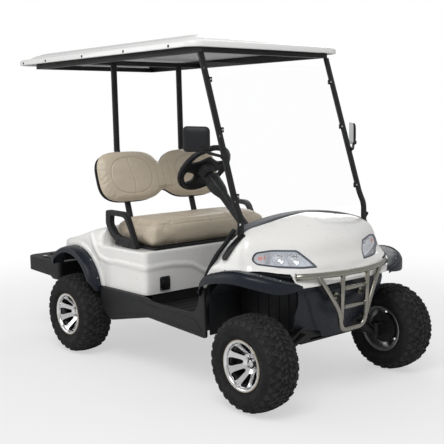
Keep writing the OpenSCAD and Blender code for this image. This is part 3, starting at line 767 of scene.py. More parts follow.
def tread_pitch(pitch, lug):
    """One repeat of the tread: slanted centre bars, and two rows of framed triangles a side."""
    made = Shape()
    for s in (1, -1):
        shift = 0 if s > 0 else pitch / 2
        rows = (
            # on the shoulder, its point inwards
            (mm((-21, 111), (21, 111), (15, 98), (0, 84), (-15, 98)), 0.8, 0.0, 0.5),
            # beside it, its point outwards
            (mm((-20, 53), (20, 53), (12, 68), (0, 83), (-12, 68)), 1.0, 0.5, 0.55),
            # slanted bars of the centre
            (mm((-23, 4), (-5, 9), (6, 26), (-6, 29), (-20, 18)), 1.0, 0.0, 0.0),
            (mm((3, 4), (18, 10), (26, 24), (16, 28), (7, 18)), 1.0, 0.0, 0.0),
            (mm((-16, 32), (2, 34), (11, 47), (0, 49), (-13, 45)), 1.0, 0.0, 0.0),
        )
        for outline, height, move, sunk in rows:
            placed = [(a + move * pitch + shift, b * s) for a, b in outline]
            made.add(tread_block(placed, height * lug, sunk=sunk * lug))
    return made


def carcass_profile():
    """The tyre's outline as (radius, across) points, from one bead to the other, then inside."""
    limit = TYRE_HALF - 0.001
    outer = []
    for i in range(-22, 23):
        (y, r), _ = tyre_section(i / 22 * 0.104)
        outer.append((r, max(-limit, min(limit, y))))
    side = rounded([(outer[-1][0], outer[-1][1]), (0.19, limit + 0.001), (0.158, limit - 0.006),
        (0.144, 0.092), (RIM_R + 0.006, 0.088), (RIM_R + 0.002, 0.078)], 0.014, 4, False)
    right = [(r, y) for r, y in side]
    left = [(r, -y) for r, y in right][::-1]
    inner = [(RIM_R + 0.002, 0.066), (0.165, 0.098), (0.215, 0.098), (0.232, 0.076), (0.232, -0.076),
        (0.215, -0.098), (0.165, -0.098), (RIM_R + 0.002, -0.066)]
    return left[:-1] + outer + right[1:] + inner


class Tree:
    """A geometry tree in the making: its inputs by name, then a node for each call.

    An input given as a socket is linked, and any other value is set. A key such as _0 is an index.
    """

    def __init__(self, name, **inputs):
        self.tree = bpy.data.node_groups.new(name, "GeometryNodeTree")
        face = self.tree.interface
        face.new_socket("Geometry", in_out="INPUT", socket_type="NodeSocketGeometry")
        for key, value in inputs.items():
            kind = "Int" if isinstance(value, int) else "Float"
            socket = face.new_socket(key.replace("_", " "), in_out="INPUT", socket_type="NodeSocket" + kind)
            socket.default_value = value
        face.new_socket("Material", in_out="INPUT", socket_type="NodeSocketMaterial")
        face.new_socket("Geometry", in_out="OUTPUT", socket_type="NodeSocketGeometry")
        self.given = self.tree.nodes.new("NodeGroupInput").outputs

    def add(self, kind, settings=(), out=0, **inputs):
        made = self.tree.nodes.new(kind)
        for key, value in dict(settings).items():
            setattr(made, key, value)
        for key, value in inputs.items():
            socket = made.inputs[int(key[1:]) if key[0] == "_" else key.replace("_", " ")]
            if isinstance(value, bpy.types.NodeSocket):
                self.tree.links.new(value, socket)
            else:
                socket.default_value = value
        return made.outputs[out]

    def math(self, operation, **inputs):
        return self.add("ShaderNodeMath", {"operation": operation}, **inputs)

    def placed(self, points, shape, **inputs):
        """Ends the tree: the shape on each point, made real, in the given material."""
        spread = self.add("GeometryNodeInstanceOnPoints", Points=points, Instance=shape, **inputs)
        real = self.add("GeometryNodeRealizeInstances", Geometry=spread)
        coat = self.add("GeometryNodeSetMaterial", Geometry=real, Material=self.given["Material"])
        self.tree.links.new(coat, self.tree.nodes.new("NodeGroupOutput").inputs["Geometry"])
        return self.tree


def ring_tree():
    """Repeats a block round the wheel's axis: count copies, each turned by its share of a turn."""
    made = Tree("Repeat round an axle", Copies=8, First_turn=0.0)
    step = made.math("DIVIDE", _0=2 * pi, _1=made.given["Copies"])
    turn = made.math("MULTIPLY_ADD", _0=made.add("GeometryNodeInputIndex"), _1=step,
        _2=made.given["First turn"])
    angles = made.add("ShaderNodeCombineXYZ", Y=turn)
    points = made.add("GeometryNodePoints", Count=made.given["Copies"])
    return made.placed(points, made.given["Geometry"], Rotation=angles)


def run_tree(made, tree, **inputs):
    """Sets a tree's named inputs by their identifiers, applies it and leaves a plain mesh."""
    modifier = made.modifiers.new(tree.name, "NODES")
    modifier.node_group = tree
    for item in tree.interface.items_tree:
        if item.item_type == "SOCKET" and item.in_out == "INPUT" and item.name in inputs:
            modifier[item.identifier] = inputs[item.name]
    return flattened(made)


TREES = {}


def tree_named(name, build):
    if name not in TREES:
        TREES[name] = build()
    return TREES[name]


def round_axle(name, shape, copies, material, centre, first=0.0):
    """A shape drawn round the origin's Y axis, repeated round it and moved to a wheel."""
    made = make(name, shape)
    run_tree(made, tree_named("ring", ring_tree), **{
        "Copies": copies, "First turn": first, "Material": MATERIALS[material]})
    made.data.transform(Matrix.Translation(centre))
    return made


def make_tyres():
    for name, body, joint, _ in WHEELS:
        centre = Vector(joint["pos_m"])
        wall = make(f"tyre_wall_{name}", lathe(carcass_profile(), centre, (0, 1, 0), 120))
        finish(wall, "rubber", [f"tyre_{name}"], 50, body=body)
        rings = Shape()
        for r, high in ((0.15, 0.0018), (0.186, 0.0014), (0.197, 0.0012)):
            y = sidewall_y(r)
            for s in (1, -1):
                rings.add(lathe([(r - 0.0022, s * (y - 0.002)), (r, s * (y + high)),
                    (r + 0.0022, s * (y - 0.002))], centre, (0, 1, 0), 96))
        piece(f"tyre_rings_{name}", rings, "rubber", angle=60, body=body)
        pitches = sizes().lug_pitches
        block = tread_pitch(2 * pi * TYRE_R / pitches, sizes().lug)
        # The tread blocks take the lighter tread rubber: a painted highlight.
        tread = round_axle(f"tread_{name}", block, pitches, "tread", centre)
        finish(tread, "tread", angle=40, body=body)


def sidewall_y(r):
    """Half width of the tyre at a radius on its sidewall."""
    line = sorted((a, b) for a, b in carcass_profile() if b > 0.06 and RIM_R + 0.004 < a < 0.225)
    return float(np.interp(r, [p[0] for p in line], [p[1] for p in line]))


HUB_FACE = 0.018               # outer face of a hub, out from the wheel's middle
SPOKE_RIM = 0.08              # where a spoke meets the barrel
SPOKES = 8


def dish(r):
    """How far out the spokes' face lies at a radius, from the wheel's middle."""
    t = min(1, max(0, (r - 0.046) / (RIM_R - 0.012 - 0.046)))
    return HUB_FACE + 0.004 + (SPOKE_RIM - HUB_FACE - 0.004) * (t ** 1.15)


def rim_window():
    """One long window between two spokes, as a cutter that points outwards along +Y."""
    inner, outer = 0.052, 0.113
    outline = rounded([(-0.0095, inner), (0.0095, inner), (0.0235, outer - 0.014), (0.02, outer),
        (-0.02, outer), (-0.0235, outer - 0.014)], [0.009, 0.009, 0.012, 0.008, 0.008, 0.012], 4)
    rings = []
    for y, grow in ((-0.06, 0.8), (0.02, 0.9), (0.16, 1.22)):
        middle = (0, (inner + outer) / 2)
        rings.append([Vector((middle[0] + (p.x - middle[0]) * grow, y,
            middle[1] + (p.y - middle[1]) * (0.96 if grow < 1 else 1.04))) for p in outline])
    return loft(rings)


def on_rim(*rows):
    """Places on a rim, from (past the rim's radius, across) rows in millimetres."""
    return [(RIM_R + r / 1000, y / 1000) for r, y in rows]


def make_rims():
    for name, body, joint, s in WHEELS:
        centre = Vector(joint["pos_m"])
        flip = Matrix.Diagonal((1, s, 1, 1))
        to_wheel = Matrix.Translation(centre) @ flip
        barrel = on_rim((-6, 91), (8, 94), (10.5, 91), (10.5, 87), (1, 82), (-3, 30), (-6, -20),
            (-1, -82), (10.5, -87), (10.5, -92), (6, -94), (-8, -89), (-14, -20), (-11, 30), (-9, 79))
        piece(f"rim_barrel_{name}", lathe(barrel, (0, 0, 0), (0, 1, 0), 96).moved(to_wheel), "barrel",
            [f"rim_{name}"], angle=40, body=body)
        lip = on_rim((3, 86), (3, 94.4), (6, 95), (10, 93.5), (11.2, 89))
        piece(f"rim_lip_{name}", lathe(lip, (0, 0, 0), (0, 1, 0), 120).moved(to_wheel), "lip", angle=60,
            body=body)
        step = on_rim((-10.5, 77), (-8.5, 89), (-3, 93.5), (3.5, 94.2), (3.5, 87))
        piece(f"rim_step_{name}", lathe(step, (0, 0, 0), (0, 1, 0), 120).moved(to_wheel), "alloy",
            angle=60, body=body)

        radii = [0.0] + [0.046 + (RIM_R - 0.0115 - 0.046) * i / 9 for i in range(10)]
        front = [(r, dish(r)) for r in radii[1:]]
        back = [(r, dish(r) - 0.013 - 0.01 * (1 - i / 9)) for i, (r, _) in enumerate(front)]
        disc = make(f"rim_spokes_{name}", lathe(front + back[::-1] + [(0.03, HUB_FACE - 0.03),
            (0.03, HUB_FACE + 0.001)], (0, 0, 0), (0, 1, 0), 144))
        windows = round_axle("windows", rim_window(), SPOKES, "pocket", Vector((0, 0, 0)))
        tidy(windows)
        cut(disc, windows)
        softened(disc, 0.0016, 2, 40)
        disc.data.materials.clear()
        disc.data.materials.append(MATERIALS["alloy"])
        disc.data.materials.append(MATERIALS["pocket"])
        for face in disc.data.polygons:
            r = hypot(face.center.x, face.center.z)
            behind = face.center.y < dish(r) - 0.004
            if behind or abs(face.normal.y) < 0.22:
                face.material_index = 1
        disc.data.transform(to_wheel)
        if s < 0:
            disc.data.flip_normals()
        finish(disc, "alloy", angle=30, body=body)

        hub = [(0.002, HUB_FACE + 0.007), (0.019, HUB_FACE + 0.007), (0.0215, HUB_FACE + 0.004),
            (0.0225, HUB_FACE), (0.047, HUB_FACE - 0.001), (0.05, HUB_FACE - 0.004),
            (0.05, HUB_FACE - 0.03), (0.044, -0.034), (0.016, -0.034), (0.016, HUB_FACE - 0.02),
            (0.002, HUB_FACE - 0.02)]
        piece(f"hub_{name}", lathe(hub, (0, 0, 0), (0, 1, 0), 64).moved(to_wheel), "pocket", body=body)
        cap = knob(mm((19, 0), (19, 4), (16.5, 6.5), (9, 8), (1, 8.2)), (0, HUB_FACE + 0.003, 0),
            (0, 1, 0), 36)
        piece(f"hub_cap_{name}", cap.moved(to_wheel), "chrome", angle=40, body=body)
        nut = knob(mm((10.5, 0), (10.5, 3), (8.5, 4), (8.5, 12), (6.5, 14.5), (2, 15.5)),
            (0, HUB_FACE - 0.002, 0.0345), (0, 1, 0), 6)
        nuts = round_axle(f"wheel_nuts_{name}", nut, 4, "chrome", Vector((0, 0, 0)), pi / 4)
        nuts.data.transform(to_wheel)
        if s < 0:
            nuts.data.flip_normals()
        finish(nuts, "chrome", angle=30, body=body)
        valve = tube([Vector((0.005, 0.06, -RIM_R + 0.02)), Vector((0.005, 0.088, -RIM_R + 0.026))],
            0.0035, 10)
        piece(f"valve_{name}", valve.moved(to_wheel), "seal", body=body)

# ---------- fasteners and stitches ----------

def fastener_tree():
    """A pan-head bolt with its washer on each point, along the point's own direction and size."""
    made = Tree("Bolts on points", Head_width=0.01)
    parts = made.tree.nodes.new("GeometryNodeJoinGeometry")
    for steps, low, high, depth, base in ((20, 0.66, 0.62, 0.12, 0.0), (6, 0.5, 0.5, 0.4, 0.1),
            (6, 0.5, 0.32, 0.1, 0.5)):
        cone = made.add("GeometryNodeMeshCone", {"fill_type": "NGON"}, Vertices=steps, Radius_Bottom=low,
            Radius_Top=high, Depth=depth)
        lift = made.add("GeometryNodeTransform", Geometry=cone, Translation=(0, 0, base))
        made.tree.links.new(lift, parts.inputs["Geometry"])
    direction = made.add("GeometryNodeInputNamedAttribute", {"data_type": "FLOAT_VECTOR"}, Name="direction")
    width = made.add("GeometryNodeInputNamedAttribute", {"data_type": "FLOAT"}, Name="width")
    turn = made.add("FunctionNodeAlignRotationToVector", {"axis": "Z"}, Vector=direction)
    scale = made.math("MULTIPLY", _0=width, _1=made.given["Head width"])
    return made.placed(made.given["Geometry"], parts.outputs[0], Rotation=turn, Scale=scale)


def fasteners(name, places, material):
    """Bolts at (point, direction, size) places, as one piece."""
    made = meshed(name, [p for p, _, _ in places], [], [])
    ways = made.data.attributes.new("direction", "FLOAT_VECTOR", "POINT")
    ways.data.foreach_set("vector", [c for _, d, _ in places for c in d.normalized()])
    widths = made.data.attributes.new("width", "FLOAT", "POINT")
    widths.data.foreach_set("value", [w for _, _, w in places])
    run_tree(made, tree_named("bolts", fastener_tree), **{
        "Head width": sizes().bolt, "Material": MATERIALS[material]})
    return finish(made, material, angle=30)


def stitch_tree():
    """Short rounded stitches at even steps along the piece's edges."""
    made = Tree("Stitches on a line", Stitch=0.01, Thread=0.0011)
    thread, stitch = made.given["Thread"], made.given["Stitch"]
    line = made.add("GeometryNodeMeshToCurve", Mesh=made.given["Geometry"])
    spaced = made.add("GeometryNodeResampleCurve", {"mode": "LENGTH"}, Curve=line, Length=stitch)
    stored = made.tree.nodes.new("GeometryNodeCaptureAttribute")
    stored.capture_items.new("VECTOR", "ahead")
    made.tree.links.new(spaced, stored.inputs["Geometry"])
    made.tree.links.new(made.add("GeometryNodeInputTangent"), stored.inputs["ahead"])
    turn = made.add("FunctionNodeAlignRotationToVector", {"axis": "Z"}, Vector=stored.outputs["ahead"])
    ball = made.add("GeometryNodeMeshUVSphere", Segments=6, Rings=4, Radius=1.0)
    length_of = made.math("MULTIPLY", _0=stitch, _1=0.36)
    size = made.add("ShaderNodeCombineXYZ", X=thread, Y=thread, Z=length_of)
    return made.placed(stored.outputs["Geometry"], ball, Rotation=turn, Scale=size)


def stitches(name, lines, body):
    """Rows of stitches along lines of points."""
    points, edges = [], []
    for line in lines:
        start = len(points)
        points += line
        edges += [(start + i, start + i + 1) for i in range(len(line) - 1)]
    made = meshed(name, points, edges, [])
    run_tree(made, tree_named("stitches", stitch_tree), Stitch=sizes().stitch, Thread=0.0012,
        Material=MATERIALS["thread"])
    return finish(made, "thread", angle=60, body=body)

# ---------- front body ----------

HALF_W = span("rear_body")[1].y
HOOD_LINE = mm((-600, 982), (-300, 982), (-160, 977), (-100, 957), (-30, 918), (40, 869), (80, 836),
    (300, 640))
NOSE_LINE = mm((400, 116), (660, 116), (700, 114), (726, 104), (770, 83), (820, 67), (900, 46), (1100, 0))
HOOD_WIDTH = [(-0.8, HALF_W), (-0.25, HALF_W), (-0.11, 0.554), (-0.03, 0.521), (0.04, 0.434),
    (0.086, 0.308), (0.106, 0.195), (0.116, 0.09), (0.3, 0.01)]
HOOD_SHOULDER = [(0.4, HALF_W), (0.69, HALF_W), (0.79, 0.546), (0.86, 0.522), (0.9, 0.491), (0.922, 0.45),
    (0.947, 0.375), (0.969, 0.255), (0.99, 0.05), (1.1, 0.01)]
LEDGE_TOP = 0.737
LEDGE_LEAN = 0.85
PAINT_LOW = 0.634
ARCH_FRONT = (-0.04, 0.33)
ARCH_FRONT_R = 0.395
HEADLIGHT = mm((186, 719), (280, 722), (400, 734), (492, 752), (511, 775), (500, 800), (480, 816),
    (400, 823), (266, 813), (215, 762))
DOOR_EDGE = mm((-436, 560), (-402, 607), (-342, 707), (-282, 785), (-217, 858), (-164, 930), (-160, 1100))


def step_up(v):
    t = np.clip(v, 0, 1)
    return t * t * (3 - 2 * t)


def cowl_field(x, y, z, bottom=0.52, rear=-0.5):
    """Distance outside the cowl: hood, nose and shoulders, joined to the ledge under the lamps."""
    a = np.sqrt(y * y + 0.0004)
    crease = 0.154 + (0.04 - x) * 0.42
    raised = 0.0065 * (1 - step_up((a - crease) / 0.013)) * step_up((0.06 - x) / 0.05)
    top = (z - along(HOOD_LINE, x) + 0.2 * a * a - raised) / 1.2
    nose = (x + 0.3 * a * a - along(NOSE_LINE, z)) / 1.15
    lamp_face = (z + 2.55 * x + 1.125 * a - 1.192) / 2.96
    slope = (z + 0.534 * x + 0.161 * a - 0.908) / 1.15
    sides = (a - along(HOOD_WIDTH, x)) / 1.5
    shoulder = (a - along(HOOD_SHOULDER, z)) / 1.15
    hood = smooth_max([top, nose, lamp_face, slope, sides, shoulder], 0.011)
    ahead = np.clip(x + 0.1 + LEDGE_LEAN * np.clip(z - PAINT_LOW - 0.012, 0, None), 0, None) / 0.2625
    out = a / 0.549
    front = ((ahead ** 3.2 + out ** 3.2) ** (1 / 3.2) - 1) * 0.24
    ledge = smooth_max([front, z - LEDGE_TOP + 0.05 * a * a], 0.009)
    joined = smooth_min([hood, ledge], 0.014)
    return np.maximum(np.maximum(joined, bottom - z), rear - x)


def cowl_solid(level, cell=0.012, bottom=0.52, rear=-0.5):
    return skin(lambda x, y, z: cowl_field(x, y, z, bottom, rear), (-0.17, 0, 0.69), (0.33, 0.565, 0.24),
        cell, level)


def disc_cutter(centre, radius, y0, y1, steps=96):
    return knob([(radius, 0), (radius, y1 - y0)], at(centre[0], y0, centre[1]), (0, 1, 0), steps)


def inset(outline, amount):
    """An outline moved inwards by an amount at each edge."""
    points = [Vector(p) for p in outline]
    area = sum(a.x * b.y - b.x * a.y for a, b in zip(points, points[1:] + points[:1]))
    turn = 1 if area > 0 else -1
    result = []
    for i, p in enumerate(points):
        a, b = (p - points[i - 1]).normalized(), (points[(i + 1) % len(points)] - p).normalized()
        na, nb = Vector((-a.y, a.x)) * turn, Vector((-b.y, b.x)) * turn
        mid = (na + nb).normalized()
        result.append(p + mid * amount / max(0.4, mid.dot(na)))
    return result


def make_cowl():
    t = sizes().panel
    cowl = make("front_cowl", cowl_solid(0.0, 0.0105))
    cut(cowl, cowl_solid(-t, 0.02, bottom=0.4, rear=-0.6))
    door = rounded(DOOR_EDGE, 0.03, 4, False)
    cut(cowl, prism([(-0.75, 0.3), (-0.445, 0.3)] + door + [(-0.75, 1.1)], -0.7, 0.7))
    cut(cowl, prism([(-0.75, 0.3), (0.3, 0.3), (0.3, PAINT_LOW), (-0.345, PAINT_LOW), (-0.395, 0.575),
        (-0.75, 0.575)], -0.7, 0.7))
    cut(cowl, disc_cutter(ARCH_FRONT, ARCH_FRONT_R, 0.372, 0.7).both())
    cut(cowl, prism(rounded(HEADLIGHT, 0.012, 3), -0.13, 0.3, "x").both())
    softened(cowl, 0.0022, 2, 38)
    finish(cowl, "body", ["front_cowl"], 30)

    seal = [at(x, 0, z) for x, z in smooth_line(DOOR_EDGE[:6], 6)]
    path = [Vector((p.x, HALF_W - 0.004 - 0.02 * max(0, (p.z - 0.8)) / 0.12, p.z)) for p in seal]
    trims = sweep(path, bar(0.018, 0.026, 0.006), up=(0, 1, 0))
    piece("door_edge_seals", trims.both(), "seal", angle=40)


def lamp_slab(name, outline, outer, inner):
    """A piece of the cowl's skin between two depths, inside an outline, on both sides."""
    made = make(name, cowl_solid(outer, 0.014))
    cut(made, cowl_solid(inner, 0.016, bottom=0.4, rear=-0.6))
    return cut(made, prism(outline, -0.125, 0.3, "x").both(), "INTERSECT")


def make_headlights():
    outline = rounded(HEADLIGHT, 0.012, 3)
    edge = inset(outline, 0.0012)
    inside = inset(outline, 0.0085)
    rim = lamp_slab("headlight_frames", edge, 0.0004, -0.012)
    cut(rim, prism(inside, -0.13, 0.3, "x").both())
    softened(rim, 0.0012, 2, 38)
    finish(rim, "lamp_rim", ["headlights"])
    lens = lamp_slab("headlight_lenses", inset(outline, 0.0075), 0.0008, -0.003)
    finish(lens, "lens")
    shell = lamp_slab("headlight_housings", inset(outline, 0.002), -0.009, -0.046)
    hollow = lamp_slab("hollow", inset(outline, 0.006), 0.0, -0.042)
    cut(shell, hollow)
    finish(shell, "housing")
    bowls, bulbs, ambers, fins = Shape(), Shape(), Shape(), Shape()
    out = Vector((0.9, 0.33, 0.14)).normalized()
    for y, z, r, deep in ((0.292, 0.766, 0.034, 0.02), (0.368, 0.776, 0.032, 0.02)):
        x = (1.188 - z - 1.125 * y) / 2.55 - 0.014
        profile = [(0.007, -deep), (r * 0.6, -deep * 0.72), (r * 0.85, -deep * 0.35), (r, 0.0),
            (r + 0.002, 0.001), (r + 0.002, -0.004), (r * 0.85, -deep * 0.35 - 0.004),
            (r * 0.6, -deep - 0.001), (0.007, -deep - 0.004)]
        bowls.add(lathe(profile, at(x, y, z), out, 40))
        bulbs.add(knob([(0.008, -deep - 0.002), (0.008, -deep + 0.006), (0.0065, -deep + 0.012),
            (0.001, -deep + 0.015)], at(x, y, z), out, 16))
    x = (1.188 - 0.782 - 1.125 * 0.452) / 2.55 - 0.014
    ambers.add(knob(mm((10, -20), (11, -6), (8.5, 4), (1, 7)), at(x, 0.452, 0.782), out, 18))
    for k in range(5):
        y = 0.405 + 0.006 * k
        x = (1.188 - 0.776 - 1.125 * y) / 2.55 - 0.016
        fins.add(box((x - 0.012, y - 0.0012, 0.748), (x, y + 0.0012, 0.806)))
    piece("headlight_reflectors", bowls.both(), "bowl", angle=50)
    piece("headlight_bulbs", bulbs.both(), "bulb", angle=50)
    piece("turn_bulbs", ambers.both(), "amber", angle=50)
    piece("headlight_fins", fins.both(), "bowl", angle=50)


APRON_FRONT = mm((300, 62), (320, 66), (440, 107), (500, 130), (550, 145.5), (640, 149))
APRON_BEND = [(0.3, 1.0), (0.32, 0.95), (0.46, 0.46), (0.55, 0.28), (0.64, 0.2)]
PANEL_EDGE = mm((300, 95), (320, 107), (461, 215), (588, 300), (600, 302))
APRON_LOW = mm((0, 320), (105, 321), (112, 330), (126, 358), (200, 372), (315, 388))


def upright(angle):
    """A direction in the cart's upright lengthwise plane."""
    return Vector((cos(angle), 0, sin(angle)))


def make_apron():
    """Moulded apron under the nose, with its raised middle and a wheel well behind each side."""
    grid = []
    columns, rows = 96, 44
    for j in range(rows + 1):
        t = j / rows
        row = []
        for i in range(columns + 1):
            s = 2 * i / columns - 1
            y = s * (0.35 - 0.04 * t)
            a = abs(y)
            low = float(np.interp(a, [p[0] for p in APRON_LOW], [p[1] for p in APRON_LOW]))
            z = PAINT_LOW - 0.004 - t * (PAINT_LOW - 0.004 - low)
            x = float(along(APRON_FRONT, z)) - float(along(APRON_BEND, z)) * y * y
            edge = float(np.interp(z, [p[0] for p in PANEL_EDGE], [p[1] for p in PANEL_EDGE]))
            x -= 0.012 * float(step_up((a - edge) / 0.009))
            x -= 0.004 * float(step_up((z - 0.606) / 0.004))
            row.append(at(min(x, 0.1495), y, z))
        grid.append(row)
    points = [p for row in grid for p in row]
    n = columns + 1
    faces = [(j * n + i, j * n + i + 1, (j + 1) * n + i + 1, (j + 1) * n + i) for j in range(rows)
        for i in range(columns)]
    apron = meshed("front_apron", points, [], faces)
    modified(apron, "SOLIDIFY", thickness=0.007, offset=1)
    tidy(apron)
    finish(apron, "trim", ["front_fascia"], 38)

    wells, ribs = Shape(), Shape()
    wall = rounded(mm((-358, 390), (-358, 600), (-300, 680), (-40, 692), (55, 640), (75, 560), (45, 388),
        (-120, 388)), 0.03, 3)
    wells.add(prism(wall, 0.312, 0.318))
    sheet = []
    for k in range(25):
        a = radians(69 + k * 3.05)
        x, z = ARCH_FRONT[0] + 0.381 * cos(a), ARCH_FRONT[1] + 0.381 * sin(a)
        near = 0.318 if x < 0.04 else 0.318 + (x - 0.04) * 0.5
        far = float(np.interp(x, [-0.35, -0.1, 0.03, 0.07, 0.1], [0.552, 0.548, 0.475, 0.43, 0.39]))
        out = upright(a) * 0.005
        sheet.append([at(x, near, z), at(x, far, z), at(x, far, z) + out, at(x, near, z) + out])
    wells.add(loft(sheet))
    wells.add(prism(mm((316, 332), (551, 332), (551, 600), (316, 600)), -0.366, -0.358, "x"))
    # The wells and their ribs take the liner black that is darkened as painted shade.
    piece("wheel_wells", wells.both(), "arch", soft=0.002)
    for x in (-0.3, -0.22, -0.14, -0.06, 0.012):
        ribs.add(box((x - 0.004, 0.3175, 0.4), (x + 0.004, 0.3225, 0.64)))
    piece("wheel_well_ribs", ribs.both(), "arch", soft=0.0015)


FLARE_IN = mm((-402, 557), (-365, 557), (-305, 557), (-220, 556), (-120, 545), (-30, 522), (50, 466),
    (100, 405), (128, 362), (140, 342))
FLARE_OUT = mm((-408, 580), (-385, 606), (-330, 630), (-205, 644.5), (-85, 640), (10, 618), (85, 562),
    (126, 505), (148, 430), (156, 356))
FLARE_Z = [0.572, 0.622, 0.668, 0.706, 0.724, 0.717, 0.698, 0.675, 0.657, 0.641]
FLARE_DROP = [0.034, 0.04, 0.046, 0.052, 0.057, 0.059, 0.062, 0.054, 0.034, 0.008]


def make_front_flares():
    inner = smooth_line([(*p, z) for p, z in zip(FLARE_IN, FLARE_Z)], 10)
    outer = smooth_line([(*p, z) for p, z in zip(FLARE_OUT, FLARE_Z)], 10)
    drop = smooth_line([(d, 0, 0) for d in FLARE_DROP], 10)
    rings = []
    for a, b, d in zip(inner, outer, drop):
        low = d.x
        across = b - a
        lift = Vector((0, 0, 0.006))
        top = [a + Vector((0, 0, -0.001)), a + across * 0.1 + lift * 0.2, a + across * 0.45 + lift,
            a + across * 0.8 + lift * 0.2, a + across * 0.94 - Vector((0, 0, 0.006)),
            b - Vector((0, 0, 0.016)), b - Vector((0, 0, low))]
        thin = 0.0045
        under = [b - across.normalized() * thin - Vector((0, 0, low)),
            b - across.normalized() * thin - Vector((0, 0, 0.018)), a + across * 0.9
            - Vector((0, 0, 0.006 + thin)), a + across * 0.45 + lift - Vector((0, 0, thin)),
            a - Vector((0, 0, thin + 0.001))]
        rings.append([at(*p) for p in top + under])
    flares = make("front_flares", loft(rings).both())
    finish(flares, "trim", ["front_flares"], 42)
    line = [at(*(Vector(a) * 0.22 + Vector(b) * 0.78 + Vector((0, 0, 0.0035)))) for a,
        b in zip(inner, outer)]
    piece("flare_beads", tube(line[2:-3], 0.0022, 8).both(), "trim", angle=60)
    bolts = []
    for k in (24, 34, 45, 56, 68):
        p = at(*(Vector(inner[k]) * 0.42 + Vector(outer[k]) * 0.58 + Vector((0, 0, 0.0058))))
        for s in (1, -1):
            bolts.append((Vector((p.x, p.y * s, p.z)), Vector((0, 0.1 * s, 1)), 0.9))
    fasteners("flare_bolts", bolts, "bolt")

# ---------- rear body ----------

BOX_FRONT = span("rear_body")[1].x
BOX_TOP = 0.726
DECK_X = -1.401
TAIL_X = span("rear_body")[0].x
ARCH_REAR = (REAR_X - 0.032, 0.405)
ARCH_REAR_R = 0.292
REAR_WIDTH = mm((-1960, 330), (-1945, 400), (-1925, 475), (-1895, 515), (-1835, 549), (-1720, 559),
    (-1400, 559), (-900, 559))
REAR_SHOULDER = mm((300, 559), (700, 559), (755, 553), (800, 541), (840, 520), (900, 470))
DECK_LINE = mm((-1970, 600), (-1945, 655), (-1920, 702), (-1880, 737), (-1800, 757), (-1720, 779),
    (-1600, 815), (-1500, 842), (-1430, 853), (-1350, 855))
SWAGE = mm((-1575, 830), (-1549, 796), (-1480, 712), (-1425, 653), (-1375, 637), (-1200, 633), (-900, 628))
FRONT_SWAGE = mm((0, 552), (90, 555), (130, 572), (205, 612), (245, 620), (600, 628))


def rear_field(x, y, z, bottom=0.4):
    """Distance outside the rear body: deck and seat box, with the pressed band and the arch's lip."""
    a = np.sqrt(y * y + 0.0001)
    steep = 1 + 0.35 * step_up((-1.39 - x) / 0.06)
    off_side = np.abs(z - along(SWAGE, x)) / steep
    band = 0.0055 * (1 - step_up((off_side - 0.01) / 0.009))
    from_arch = np.hypot(x - ARCH_REAR[0], z - ARCH_REAR[1])
    lip = 0.0055 * (1 - step_up((np.abs(from_arch - ARCH_REAR_R) - 0.02) / 0.008))
    band = np.maximum(band * step_up((from_arch - 0.3) / 0.03), lip)
    off_front = np.abs(z - along(FRONT_SWAGE, a))
    face_band = 0.0055 * (1 - step_up((off_front - 0.01) / 0.009))
    side = a - np.minimum(along(REAR_WIDTH, x), along(REAR_SHOULDER, z)) - band
    front = x - BOX_FRONT + 0.006 - face_band
    corner = smooth_max([side, front], 0.016)
    deck = smooth_max([corner, (z - along(DECK_LINE, x) + 0.1 * a * a) / 1.1, x - DECK_X,
        TAIL_X + 0.003 - x], 0.0075)
    seat_box = smooth_max([corner, z - BOX_TOP], 0.004)
    joined = smooth_min([deck, np.maximum(seat_box, -1.5 - x)], 0.005)
    return np.maximum(joined, bottom - z)


def rear_solid(level, cell=0.012, bottom=0.4):
    return skin(lambda x, y, z: rear_field(x, y, z, bottom), (-1.45, 0, 0.58), (0.52, 0.56, 0.27), cell,
        level)


TAIL_LAMP = mm((408, 643), (600, 636), (600, 692), (408, 687))


def make_rear_body():
    t = sizes().panel
    body = make("rear_body", rear_solid(0.0, 0.0098))
    cut(body, rear_solid(-t, 0.02, bottom=0.25))
    cut(body, prism(mm((-2200, 200), (-700, 200), (-700, 452), (-870, 452), (-890, 466), (-2200, 466)),
        -0.7, 0.7))
    hatch = rounded(mm((-1366, -458), (-985, -458), (-985, 458), (-1366, 458)), 0.03, 4)
    cut(body, prism(hatch, 0.6, 0.8, "z"))
    cut(body, disc_cutter(ARCH_REAR, ARCH_REAR_R, 0.33, 0.7).both())
    foot, knee = rear_post_line()
    way = (knee - foot).normalized()
    cut(body, knob([(0.0225, -0.2), (0.0225, 0.3)], foot, way, 32).both())
    cut(body, prism(rounded(TAIL_LAMP, 0.008, 3), -2.1, -1.872, "x").both())
    cut(body, box((BOX_FRONT - 0.03, -0.4515, 0.4905), (BOX_FRONT + 0.02, -0.3885, 0.5615)))
    softened(body, 0.002, 2, 40)
    finish(body, "body", ["rear_body"], 30)

    lens = make("tail_lenses", rear_solid(0.0006, 0.014))
    cut(lens, rear_solid(-0.005, 0.02, bottom=0.25))
    cut(lens, prism(inset(rounded(TAIL_LAMP, 0.008, 3), 0.0012), -2.1, -1.874, "x").both(), "INTERSECT")
    finish(lens, "tail", ["tail_lights"])
    backs = make("tail_housings", rear_solid(-0.007, 0.016))
    cut(backs, rear_solid(-0.016, 0.02, bottom=0.25))
    cut(backs, prism(inset(rounded(TAIL_LAMP, 0.008, 3), -0.006), -2.1, -1.868, "x").both(), "INTERSECT")
    finish(backs, "lamp_rim")


def rear_post_line():
    """Foot and knee of the left rear post."""
    return at(REAR_X + 0.215, 0.272, 0.735), at(REAR_X + 0.04, 0.272, 1.312)


